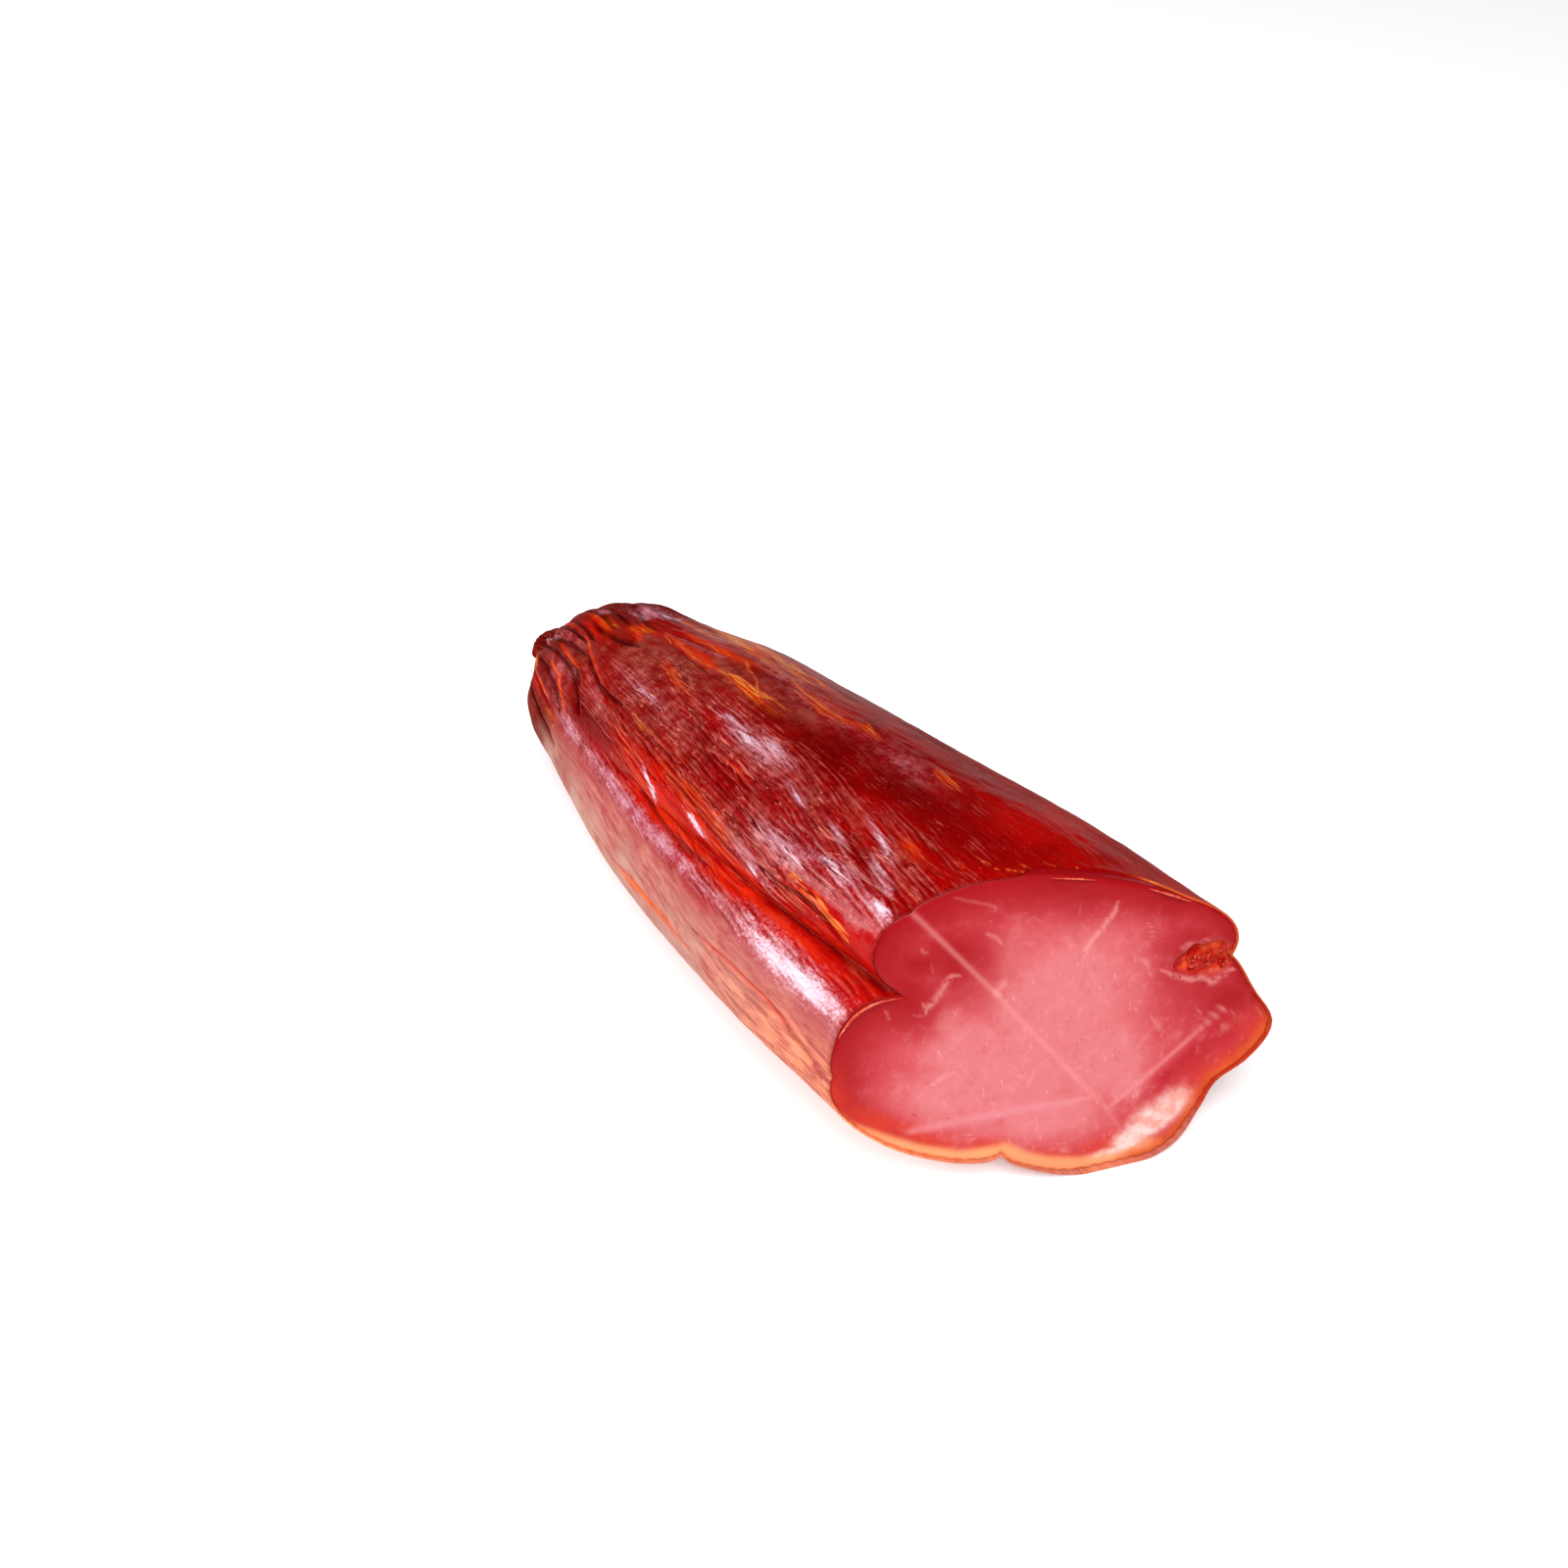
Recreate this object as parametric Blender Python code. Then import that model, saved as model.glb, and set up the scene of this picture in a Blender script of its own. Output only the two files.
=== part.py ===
"""Half of a cured pork loin in its natural casing.

The loin lies on its underside. Its gathered end points to -X, where the casing is pleated round a short
nub, and a slanting knife cut across its middle faces +X. The form is worked out in millimetres, with x from
the nub's end along the loin, y sideways and z up from the surface it lies on.
"""
import math

import bmesh
import bpy
import numpy as np

MM = 0.001

# Where the knife went through, from the nub's end, and how far its face turns from square and leans back
CUT_REACH = 189.0
CUT_TURN = math.radians(23)
CUT_LEAN = math.radians(22)

# Outline at the cut, as angle and radius round a line at this height. Angle 0 is the +Y side, 90 the top.
CENTRE_HEIGHT = 30.0
OUTLINE = (
    (0, 41.5), (21, 42.5), (38, 38), (60, 34.5), (86, 34), (106, 36), (127, 39), (148, 39.5), (166, 41.5),
    (184, 43.5), (201, 38.8), (216, 33.8), (238, 28.5), (262, 29.5), (282, 31.5), (304, 33.5), (320, 33),
    (331, 34), (340, 39), (351, 43.5),
)

# Size of the section along the loin against the cut's, and the sideways sway of its middle
TAPER = (
    (0, 0.49), (28, 0.635), (53, 0.775), (88, 0.88), (123, 0.945), (158, 0.985), (190, 1.0), (210, 1.0),
)
SWAY = ((0, -2.0), (14, 2.0), (38, 3.0), (78, -0.5), (118, -1.5), (158, 0.0), (210, 0.0))
ROUND_RADIUS = 36.0
ROUND_SHARE = 0.55
ROUND_REACH = 138.0

# The gathered end: a dome with a nub of bunched casing, and pleats that run out along the body
NUB_LENGTH = 8.0
NUB_SHARE = 0.30
NUB_CROWN = 4.0
DOME_DEPTH = 20.0
DOME_SQUARENESS = 2.4
GATHER_LIFT = 7.5
LIFT_REACH = 50.0
PLEATS = 16
PLEAT_DEPTH = 1.8
PLEAT_REACH = 64.0
NUB_PLEAT_DEPTH = 6.0

# Furrows along the loin: angle near the gathered end, angle at the cut, depth, spread in degrees on the side
# of the larger and of the smaller angles, then where it starts and where it reaches its depth
FURROWS = {
    "left notch": (150, 148.4, 11.0, 7.0, 5.0, 35, 196),
    "right notch": (22, 13, 4.0, 4.0, 9.0, 85, 196),
    "underside notch": (240, 236, 2.4, 3.0, 3.0, 95, 196),
    "flank crease": (171, 178, 1.0, 2.5, 2.5, 40, 120),
    "shoulder crease": (128, 121, 0.9, 4.0, 4.0, 30, 90),
}

# Strokes of the knife on the face. Past each line the face falls away a little: a point of the line as y and
# z, the way the face falls from it as an angle, and how steeply.
STROKES = (
    (-6.5, 36.5, 209, 0.020),
    (-6.5, 36.5, 29, 0.012),
    (20.5, 20.5, 300, 0.035),
    (-17.0, 18.0, 267, 0.040),
)
FACE_CENTRE = (0.0, 32.0)
FACE_RINGS = (0.8, 0.6, 0.4, 0.2)
EDGE_ROUNDING = 0.6

SEGMENTS = 128
RINGS = 32
RING_CROWDING = 1.35
FURROW_CROWDING = 2.5


def curve(points, at):
    """Smooth curve through points of place and value."""
    place, value = np.array(points, float).T
    slope = np.gradient(value, place)
    i = np.clip(np.searchsorted(place, at, side="right") - 1, 0, len(place) - 2)
    span = place[i + 1] - place[i]
    t = np.clip((at - place[i]) / span, 0, 1)
    near = value[i] * (1 + 2 * t) + slope[i] * span * t
    far = value[i + 1] * (3 - 2 * t) - slope[i + 1] * span * (1 - t)
    return near * (1 - t) ** 2 + far * t**2


def ease(start, end, at):
    """0 before start, 1 past end and smooth between."""
    t = np.clip((at - start) / (end - start), 0, 1)
    return t * t * (3 - 2 * t)


def outline_radius(angle):
    turns = [(place + turn, radius) for turn in (-360, 0, 360) for place, radius in OUTLINE]
    return curve(turns, np.mod(angle, 360))


def furrow_depth(angle, x):
    depth = 0.0
    for near_tail, at_cut, deepest, after, before, start, full in FURROWS.values():
        line = near_tail + (at_cut - near_tail) * x / CUT_REACH
        off = (angle - line + 180) % 360 - 180
        spread = np.where(off > 0, after, before)
        depth = depth + deepest * ease(start, full, x) * np.exp(-np.abs(off) / spread)
    return depth


def pleat_depth(angle, x):
    """Ridges and valleys of the gathered casing, uneven in width."""
    turn = np.radians(angle)
    wave = np.cos(PLEATS * turn + 1.4 * np.sin(3 * turn) + 0.9 * np.sin(5 * turn + 1))
    body = PLEAT_DEPTH * ease(0, NUB_LENGTH, x) * (1 - ease(NUB_LENGTH, PLEAT_REACH, x)) ** 1.5
    nub = NUB_PLEAT_DEPTH * ease(0, NUB_CROWN, x) * (1 - ease(NUB_CROWN, 2 * NUB_LENGTH, x))
    return (body + nub) * (1 - wave) / 2


def end_share(x):
    """Share of the full section that the nub and the dome have at a distance from the end."""
    nub = NUB_SHARE * np.sqrt(1 - (1 - np.clip(x / NUB_CROWN, 0, 1)) ** 2)
    into = np.clip((x - NUB_LENGTH) / DOME_DEPTH, 0, 1)
    dome = (1 - (1 - into) ** DOME_SQUARENESS) ** (1 / DOME_SQUARENESS)
    return (nub**3 + (1 - NUB_SHARE**3) * dome**3) ** (1 / 3)


def section(angle, x):
    """Sideways place and height of the surface at an angle and a distance along the loin."""
    roundness = ROUND_SHARE * (1 - np.clip(x / ROUND_REACH, 0, 1))
    radius = outline_radius(angle) * (1 - roundness) + ROUND_RADIUS * roundness
    radius = radius - furrow_depth(angle, x) - pleat_depth(angle, x)
    size = curve(TAPER, x)
    turn = np.radians(angle)
    reach = size * end_share(x) * radius
    middle = size * CENTRE_HEIGHT + GATHER_LIFT * (1 - ease(0, LIFT_REACH, x))
    return curve(SWAY, x) + reach * np.cos(turn), np.maximum(middle + reach * np.sin(turn), 0)


def knife_plane(y, z):
    """How far the slanting cut stands before a square one, at a place in the section."""
    return math.tan(CUT_TURN) * y - math.tan(CUT_LEAN) / math.cos(CUT_TURN) * z


def stroke_fall(y, z):
    """How far the strokes of the knife leave the face behind the flat cut."""
    fall = 0.0
    for at_y, at_z, way, steepness in STROKES:
        way = math.radians(way)
        past = (y - at_y) * math.cos(way) + (z - at_z) * math.sin(way)
        fall = fall + steepness * np.maximum(past, 0)
    return fall


def spread_angles(count):
    """Angles round the section, closer together at the furrows."""
    fine = np.linspace(0, 360, 3601)
    crowd = np.ones_like(fine)
    for _, at_cut, deepest, after, *_ in FURROWS.values():
        off = (fine - at_cut + 180) % 360 - 180
        crowd += FURROW_CROWDING * min(deepest / 4, 1) * np.exp(-(off / (1.5 * after)) ** 2)
    total = np.concatenate([[0], np.cumsum((crowd[1:] + crowd[:-1]) / 2)])
    return np.interp(np.arange(count) / count * total[-1], total, fine)


def body_ring(angles, t):
    """Points round the loin, square at the gathered end and in the knife's plane at the cut."""
    square_x = CUT_REACH * t**RING_CROWDING
    slant = ease(0.1, 1, t)
    x = np.full(len(angles), square_x)
    for _ in range(6):
        y, z = section(angles, x)
        x = square_x + slant * knife_plane(y, z)
    return np.stack([x, y, z], 1)


def face_ring(rim, share):
    """Points of the cut face at a share of the rim's reach, set back by the knife's strokes."""
    y = FACE_CENTRE[0] + share * (rim[:, 1] - FACE_CENTRE[0])
    z = FACE_CENTRE[1] + share * (rim[:, 2] - FACE_CENTRE[1])
    return np.stack([CUT_REACH + knife_plane(y, z) - stroke_fall(y, z), y, z], 1)


def set_ring(ring, points):
    for vert, point in zip(ring, points):
        vert.co = point * MM


def extrude_ring(bm, ring, points):
    """Extrudes an open ring of vertices to the next ring of points, in the same order."""
    edges = [bm.edges.get((ring[i - 1], ring[i])) for i in range(len(ring))]
    made = bmesh.ops.extrude_edge_only(bm, edges=edges)["geom"]
    fresh = {item for item in made if isinstance(item, bmesh.types.BMVert)}
    copies = []
    for vert in ring:
        neighbours = {edge.other_vert(vert) for edge in vert.link_edges}
        copies.append((neighbours & fresh).pop())
    set_ring(copies, points)
    return copies


def close_ring(bm, ring, point):
    """Draws an open ring together in one point."""
    inner = extrude_ring(bm, ring, np.tile(point, (len(ring), 1)))
    bmesh.ops.pointmerge(bm, verts=inner, merge_co=point * MM)


def model_loin(bm):
    angles = spread_angles(SEGMENTS)
    body = [body_ring(angles, step / RINGS) for step in range(1, RINGS + 1)]
    rim = body[-1]
    body[-1] = rim - (EDGE_ROUNDING, 0, 0)
    end = bmesh.ops.create_circle(bm, segments=SEGMENTS, radius=MM)["verts"]
    set_ring(end, body[0])
    ring = end
    for points in body[1:]:
        ring = extrude_ring(bm, ring, points)
    for share in (1 - EDGE_ROUNDING / ROUND_RADIUS, *FACE_RINGS):
        ring = extrude_ring(bm, ring, face_ring(rim, share))
    close_ring(bm, ring, face_ring(rim, 0)[0])
    middle = curve(TAPER, 0) * CENTRE_HEIGHT + GATHER_LIFT
    close_ring(bm, end, np.array([0, curve(SWAY, 0), middle]))
    bmesh.ops.recalc_face_normals(bm, faces=bm.faces)


def stand_at_origin(bm):
    """Puts the middle of the loin's box, at the height it rests on, at the origin."""
    low = np.min([vert.co for vert in bm.verts], axis=0)
    high = np.max([vert.co for vert in bm.verts], axis=0)
    middle = (low + high) / 2
    bmesh.ops.translate(bm, verts=bm.verts, vec=(-middle[0], -middle[1], -low[2]))


def casing_material():
    material = bpy.data.materials.new("Cured casing")
    material.use_nodes = True
    shader = material.node_tree.nodes["Principled BSDF"]
    shader.inputs["Base Color"].default_value = (0.30, 0.035, 0.018, 1)
    shader.inputs["Roughness"].default_value = 0.32
    shader.inputs["Metallic"].default_value = 0.0
    return material


def make_loin():
    mesh = bpy.data.meshes.new("cured_loin")
    bm = bmesh.new()
    model_loin(bm)
    stand_at_origin(bm)
    bm.to_mesh(mesh)
    bm.free()
    mesh.shade_smooth()
    mesh.set_sharp_from_angle(angle=math.radians(50))
    mesh.materials.append(casing_material())
    loin = bpy.data.objects.new("cured_loin", mesh)
    bpy.context.scene.collection.objects.link(loin)
    return loin


def main():
    for thing in list(bpy.data.objects):
        bpy.data.objects.remove(thing)
    make_loin()


main()
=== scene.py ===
"""The looks of the cut half of a cured pork loin: its wrinkled casing and the moist meat of its cut face.

Lengths are in millimetres, with x from the gathered end along the loin, y sideways and z up from the floor.
Angles go round the loin, with 0 on the +Y side and 90 on top. stand_in_place turns the places into metres
where the solid stands.
"""

import math

import bmesh
import bpy
import numpy as np
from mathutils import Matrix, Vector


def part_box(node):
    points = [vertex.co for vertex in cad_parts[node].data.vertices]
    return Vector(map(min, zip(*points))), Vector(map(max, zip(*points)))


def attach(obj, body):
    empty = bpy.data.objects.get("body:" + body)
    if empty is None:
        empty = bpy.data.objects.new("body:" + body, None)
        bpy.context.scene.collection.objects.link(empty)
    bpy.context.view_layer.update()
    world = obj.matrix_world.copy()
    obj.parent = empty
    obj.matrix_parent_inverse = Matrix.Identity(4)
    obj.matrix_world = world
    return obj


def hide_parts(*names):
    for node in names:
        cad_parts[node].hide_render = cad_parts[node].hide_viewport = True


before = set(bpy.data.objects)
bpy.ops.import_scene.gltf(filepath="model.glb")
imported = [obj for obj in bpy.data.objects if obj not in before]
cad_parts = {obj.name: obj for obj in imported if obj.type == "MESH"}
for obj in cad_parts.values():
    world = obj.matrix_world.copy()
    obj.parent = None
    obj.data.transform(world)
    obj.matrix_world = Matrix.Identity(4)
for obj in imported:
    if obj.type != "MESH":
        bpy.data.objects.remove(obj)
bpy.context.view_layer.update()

MM = 0.001
LOIN = "cured_loin"
BODY = "root"

# The form that the solid has: where the knife went through, and how its face turns and leans
CUT_REACH = 189.0
CUT_TURN = math.radians(23)
CUT_LEAN = math.radians(22)

# Outline at the cut, as angle and radius round a line at this height
CENTRE_HEIGHT = 30.0
OUTLINE = (
    (0, 41.5), (21, 42.5), (38, 38), (60, 34.5), (86, 34), (106, 36), (127, 39), (148, 39.5), (166, 41.5),
    (184, 43.5), (201, 38.8), (216, 33.8), (238, 28.5), (262, 29.5), (282, 31.5), (304, 33.5), (320, 33),
    (331, 34), (340, 39), (351, 43.5),
)
TAPER = (
    (0, 0.49), (28, 0.635), (53, 0.775), (88, 0.88), (123, 0.945), (158, 0.985), (190, 1.0), (210, 1.0),
)
SWAY = ((0, -2.0), (14, 2.0), (38, 3.0), (78, -0.5), (118, -1.5), (158, 0.0), (210, 0.0))
ROUND_RADIUS = 36.0
ROUND_SHARE = 0.55
ROUND_REACH = 138.0

# The gathered end
NUB_LENGTH = 8.0
NUB_SHARE = 0.30
NUB_CROWN = 4.0
DOME_DEPTH = 20.0
DOME_SQUARENESS = 2.4
GATHER_LIFT = 7.5
LIFT_REACH = 50.0
PLEATS = 16
PLEAT_DEPTH = 1.8
PLEAT_REACH = 64.0
NUB_PLEAT_DEPTH = 6.0

# Furrows: angle near the gathered end and at the cut, depth, spread to larger and to smaller angles, then
# where each starts and where it is full
FURROWS = {
    "left notch": (150, 148.4, 11.0, 7.0, 5.0, 35, 196),
    "right notch": (22, 13, 4.0, 4.0, 9.0, 85, 196),
    "underside notch": (240, 236, 2.4, 3.0, 3.0, 95, 196),
    "flank crease": (171, 178, 1.0, 2.5, 2.5, 40, 120),
    "shoulder crease": (128, 121, 0.9, 4.0, 4.0, 30, 90),
}

# Strokes of the knife: a point of the line, the way the face falls from it and how steeply
LOWER_STROKE = (20.5, 20.5, 300, 0.035)
STROKES = ((-6.5, 36.5, 209, 0.020), (-6.5, 36.5, 29, 0.012), LOWER_STROKE, (-17.0, 18.0, 267, 0.040))
FACE_CENTRE = (0.0, 32.0)

# How finely the pieces are made
CASING_COLUMNS = 470
CASING_ROWS = 200
MEAT_COLUMNS = 420
FACE_ROWS = 100
ROW_CROWDING = 1.1
FURROW_CROWDING = 2.2
SHOWN_CROWDING = 3.7
SHOWN_SIDE = (44, 188)
UNDERNEATH = -90
RING_STEPS = 6
NOISE_STEPS = 64

# The casing: its wall, its folded lip at the cut, and where the cut left it short of the meat
WALL = 0.45
CASING_INSET = 0.3
LIP_SET = 0.8
LIP_TURNS = (45, 90, 135, 180)
LINING_DEPTH = 13.0
LINING_STEPS = (1.5, 4.0, 8.0, LINING_DEPTH)
CLOSING_SHARES = (0.6, 0.0)
RELIEF_AT_CUT = 0.25
RELIEF_FADE = 7
SETBACK = 3.0
SETBACK_FROM = 40
SETBACK_TO = 84
SETBACK_FADE = 7
MM_A_DEGREE = 0.65
CHART_MM = 100

# The meat: how far it lies inside the form, its rings behind the cut and how its face's rings crowd
MEAT_INSET = 0.6
MEAT_STEPS = (LINING_DEPTH - 1, 8.0, 5.0, 3.5, 2.5, 2.0)
MEAT_LEAD = 1.25
FACE_CROWDING = 1.15


def curve(points, at):
    """Smooth curve through points of place and value."""
    place, value = np.array(points, float).T
    slope = np.gradient(value, place)
    i = np.clip(np.searchsorted(place, at, side="right") - 1, 0, len(place) - 2)
    span = place[i + 1] - place[i]
    t = np.clip((at - place[i]) / span, 0, 1)
    near = value[i] * (1 + 2 * t) + slope[i] * span * t
    far = value[i + 1] * (3 - 2 * t) - slope[i + 1] * span * (1 - t)
    return near * (1 - t) ** 2 + far * t**2


def ease(start, end, at):
    """0 before start, 1 past end and smooth between."""
    t = np.clip((at - start) / (end - start), 0, 1)
    return t * t * (3 - 2 * t)


def between(start, end, fade, at):
    """1 from start to end and 0 outside, with soft ends."""
    return ease(start - fade, start + fade, at) * (1 - ease(end - fade, end + fade, at))


def outline_radius(angle):
    turns = [(place + turn, radius) for turn in (-360, 0, 360) for place, radius in OUTLINE]
    return curve(turns, np.mod(angle, 360))


def furrow_depth(angle, x):
    depth = 0.0
    for near_tail, at_cut, deepest, after, before, start, full in FURROWS.values():
        line = near_tail + (at_cut - near_tail) * x / CUT_REACH
        off = (angle - line + 180) % 360 - 180
        spread = np.where(off > 0, after, before)
        depth = depth + deepest * ease(start, full, x) * np.exp(-np.abs(off) / spread)
    return depth


def pleat_depth(angle, x):
    """Ridges and valleys of the gathered casing, uneven in width."""
    turn = np.radians(angle)
    wave = np.cos(PLEATS * turn + 1.4 * np.sin(3 * turn) + 0.9 * np.sin(5 * turn + 1))
    body = PLEAT_DEPTH * ease(0, NUB_LENGTH, x) * (1 - ease(NUB_LENGTH, PLEAT_REACH, x)) ** 1.5
    nub = NUB_PLEAT_DEPTH * ease(0, NUB_CROWN, x) * (1 - ease(NUB_CROWN, 2 * NUB_LENGTH, x))
    return (body + nub) * (1 - wave) / 2


def end_share(x):
    """Share of the full section that the nub and the dome have at a distance from the end."""
    nub = NUB_SHARE * np.sqrt(1 - (1 - np.clip(x / NUB_CROWN, 0, 1)) ** 2)
    into = np.clip((x - NUB_LENGTH) / DOME_DEPTH, 0, 1)
    dome = (1 - (1 - into) ** DOME_SQUARENESS) ** (1 / DOME_SQUARENESS)
    return (nub**3 + (1 - NUB_SHARE**3) * dome**3) ** (1 / 3)


def section(angle, x, inward=0.0, floor=0.0):
    """Sideways place and height of a surface a little inside the form, at an angle and a distance."""
    roundness = ROUND_SHARE * (1 - np.clip(x / ROUND_REACH, 0, 1))
    radius = outline_radius(angle) * (1 - roundness) + ROUND_RADIUS * roundness
    radius = radius - furrow_depth(angle, x) - pleat_depth(angle, x)
    size = curve(TAPER, x)
    turn = np.radians(angle)
    reach = np.maximum(size * end_share(x) * radius - inward, 0)
    middle = size * CENTRE_HEIGHT + GATHER_LIFT * (1 - ease(0, LIFT_REACH, x))
    return curve(SWAY, x) + reach * np.cos(turn), np.maximum(middle + reach * np.sin(turn), floor)


def knife_plane(y, z):
    """How far the slanting cut stands before a square one, at a place in the section."""
    return math.tan(CUT_TURN) * y - math.tan(CUT_LEAN) / math.cos(CUT_TURN) * z


def stroke_fall(y, z):
    """How far the strokes of the knife leave the face behind the flat cut."""
    fall = 0.0
    for at_y, at_z, way, steepness in STROKES:
        way = math.radians(way)
        past = (y - at_y) * math.cos(way) + (z - at_z) * math.sin(way)
        fall = fall + steepness * np.maximum(past, 0)
    return fall


def spread_angles(count):
    """Angles round the section from underneath, closer at the furrows and on the shown side."""
    fine = np.linspace(UNDERNEATH, UNDERNEATH + 360, 3601)
    crowd = 1 + SHOWN_CROWDING * between(*SHOWN_SIDE, 12, fine)
    for _, at_cut, deepest, after, *_ in FURROWS.values():
        off = (fine - at_cut + 180) % 360 - 180
        crowd += FURROW_CROWDING * min(deepest / 4, 1) * np.exp(-(off / (1.5 * after)) ** 2)
    total = np.concatenate([[0], np.cumsum((crowd[1:] + crowd[:-1]) / 2)])
    return np.interp(np.linspace(0, total[-1], count), total, fine)


def noise(along, turn, cells, seed):
    """Smooth random heights from 0 to 1, a lump to each step along and so many lumps to a full turn."""
    steps = NOISE_STEPS
    lattice = np.random.default_rng(seed).random((steps, cells))
    across = np.mod(turn, 1) * cells
    i = np.floor(along).astype(int)
    j = np.floor(across).astype(int)
    a = along - i
    b = across - j
    a = a * a * (3 - 2 * a)
    b = b * b * (3 - 2 * b)
    here = lattice[i % steps, j % cells] * (1 - b) + lattice[i % steps, (j + 1) % cells] * b
    there = lattice[(i + 1) % steps, j % cells] * (1 - b) + lattice[(i + 1) % steps, (j + 1) % cells] * b
    return here * (1 - a) + there * a


def rough(along, turn, cells, seed, octaves=3):
    """Noise with finer noise on it, about 0 to 1."""
    total = 0.0
    share = 0.0
    for octave in range(octaves):
        weight = 0.5**octave
        scale = 2**octave
        total = total + weight * noise(along * scale, turn, cells * scale, seed + octave)
        share += weight
    return total / share


def crests(along, turn, cells, seed):
    """Thin raised lines, 1 on a line and 0 between, that wander lengthways."""
    return np.clip(1 - 2 * np.abs(2 * rough(along, turn, cells, seed, 2) - 1), 0, 1)


def line_distance(at, points):
    """Distance of each place to a line through points, and the nearest point's share of the way along it."""
    best = np.full(at[0].shape, np.inf)
    along = np.zeros(at[0].shape)
    count = len(points) - 1
    for i, ((a0, b0), (a1, b1)) in enumerate(zip(points, points[1:])):
        length = (a1 - a0) ** 2 + (b1 - b0) ** 2
        t = np.clip(((at[0] - a0) * (a1 - a0) + (at[1] - b0) * (b1 - b0)) / length, 0, 1)
        distance = np.hypot(at[0] - a0 - t * (a1 - a0), at[1] - b0 - t * (b1 - b0))
        nearer = distance < best
        best = np.where(nearer, distance, best)
        along = np.where(nearer, (i + t) / count, along)
    return best, along


def line_mask(at, points, width, tip=0.15):
    """1 on a line through points and 0 away from it, thinning at its ends."""
    distance, along = line_distance(at, points)
    thickness = width * (0.45 + 0.55 * ease(0, tip, along) * (1 - ease(1 - tip, 1, along)))
    return np.exp(-((distance / thickness) ** 2))


def patch_mask(at, centre, reach, tilt=0):
    """1 in the middle of an oval patch, falling smoothly to 0 outside it."""
    tilt = math.radians(tilt)
    a = at[0] - centre[0]
    b = at[1] - centre[1]
    along = a * math.cos(tilt) + b * math.sin(tilt)
    across = b * math.cos(tilt) - a * math.sin(tilt)
    return np.exp(-((along / reach[0]) ** 2) - (across / reach[1]) ** 2)


# Folded places of the casing: from and to along the loin, from and to round it, bundles of folds, their
# length, how many degrees they drift round for a millimetre along, how strong their crests are and how
# strong their valleys. Crests stand up and carry a painted highlight; valleys sink and carry painted shade
FOLDS = (
    (74, 112, 97, 112, 17, 7, 0.04, 1.0, 0.8),
    (84, 112, 100, 110, 8, 6, 0.04, 1.0, 0.6),
    (108, 148, 99, 112, 12, 13, 0.42, 0.8, 0.8),
    (108, 150, 110, 124, 10, 12, 0.36, 0.7, 0.9),
    (46, 82, 110, 120, 10, 9, 0.10, 0.7, 0.8),
    (44, 80, 118, 132, 11, 12, 0.12, 0.6, 0.9),
    (80, 118, 112, 122, 8, 9, 0.05, 0.5, 0.8),
    (80, 122, 121, 133, 10, 12, 0.10, 0.6, 0.9),
    (84, 112, 130, 141, 7, 13, 0.16, 0.7, 0.8),
    (68, 84, 132, 142, 4, 9, 0.20, 0.8, 0.9),
    (104, 128, 133, 144, 9, 9, 0.22, 0.9, 1.0),
    (60, 78, 139, 151, 6, 6, 0.10, 0.7, 0.5),
    (34, 60, 128, 140, 8, 7, 0.15, 0.7, 0.7),
    (36, 158, 151, 158, 14, 7, 0.20, 0.5, 0.6),
    (60, 158, 156, 166, 16, 5, 0.35, 0.5, 0.5),
    (50, 156, 165, 188, 11, 12, 0.03, 0.25, 0.15),
    (14, 52, 50, 175, 31, 6, 0.00, 0.5, 0.6),
    (78, 108, 58, 74, 15, 3, 0.10, 0.5, 0.4),
    (106, 158, 62, 98, 14, 3, 0.25, 0.35, 0.2),
    (138, 160, 84, 106, 8, 3, 0.30, 0.7, 0.3),
    (50, 160, -30, 56, 36, 10, 0.05, 0.5, 0.6),
    (40, 160, 190, 262, 31, 10, 0.05, 0.4, 0.5),
    (40, 150, 262, 268, 5, 10, 0.05, 0.4, 0.5),
    (40, 150, -88, -30, 20, 10, 0.05, 0.4, 0.5),
)
FOLD_SEED = 5
FOLD_SKEW = 0.1
CREST_HEIGHT = 0.11
VALLEY_DEPTH = 0.16
CREASE_DEPTH = 0.8
LUMP_DEPTH = 0.4
BUMP_DEPTH = 0.25
TAIL_RIDGES = 0.5
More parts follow.
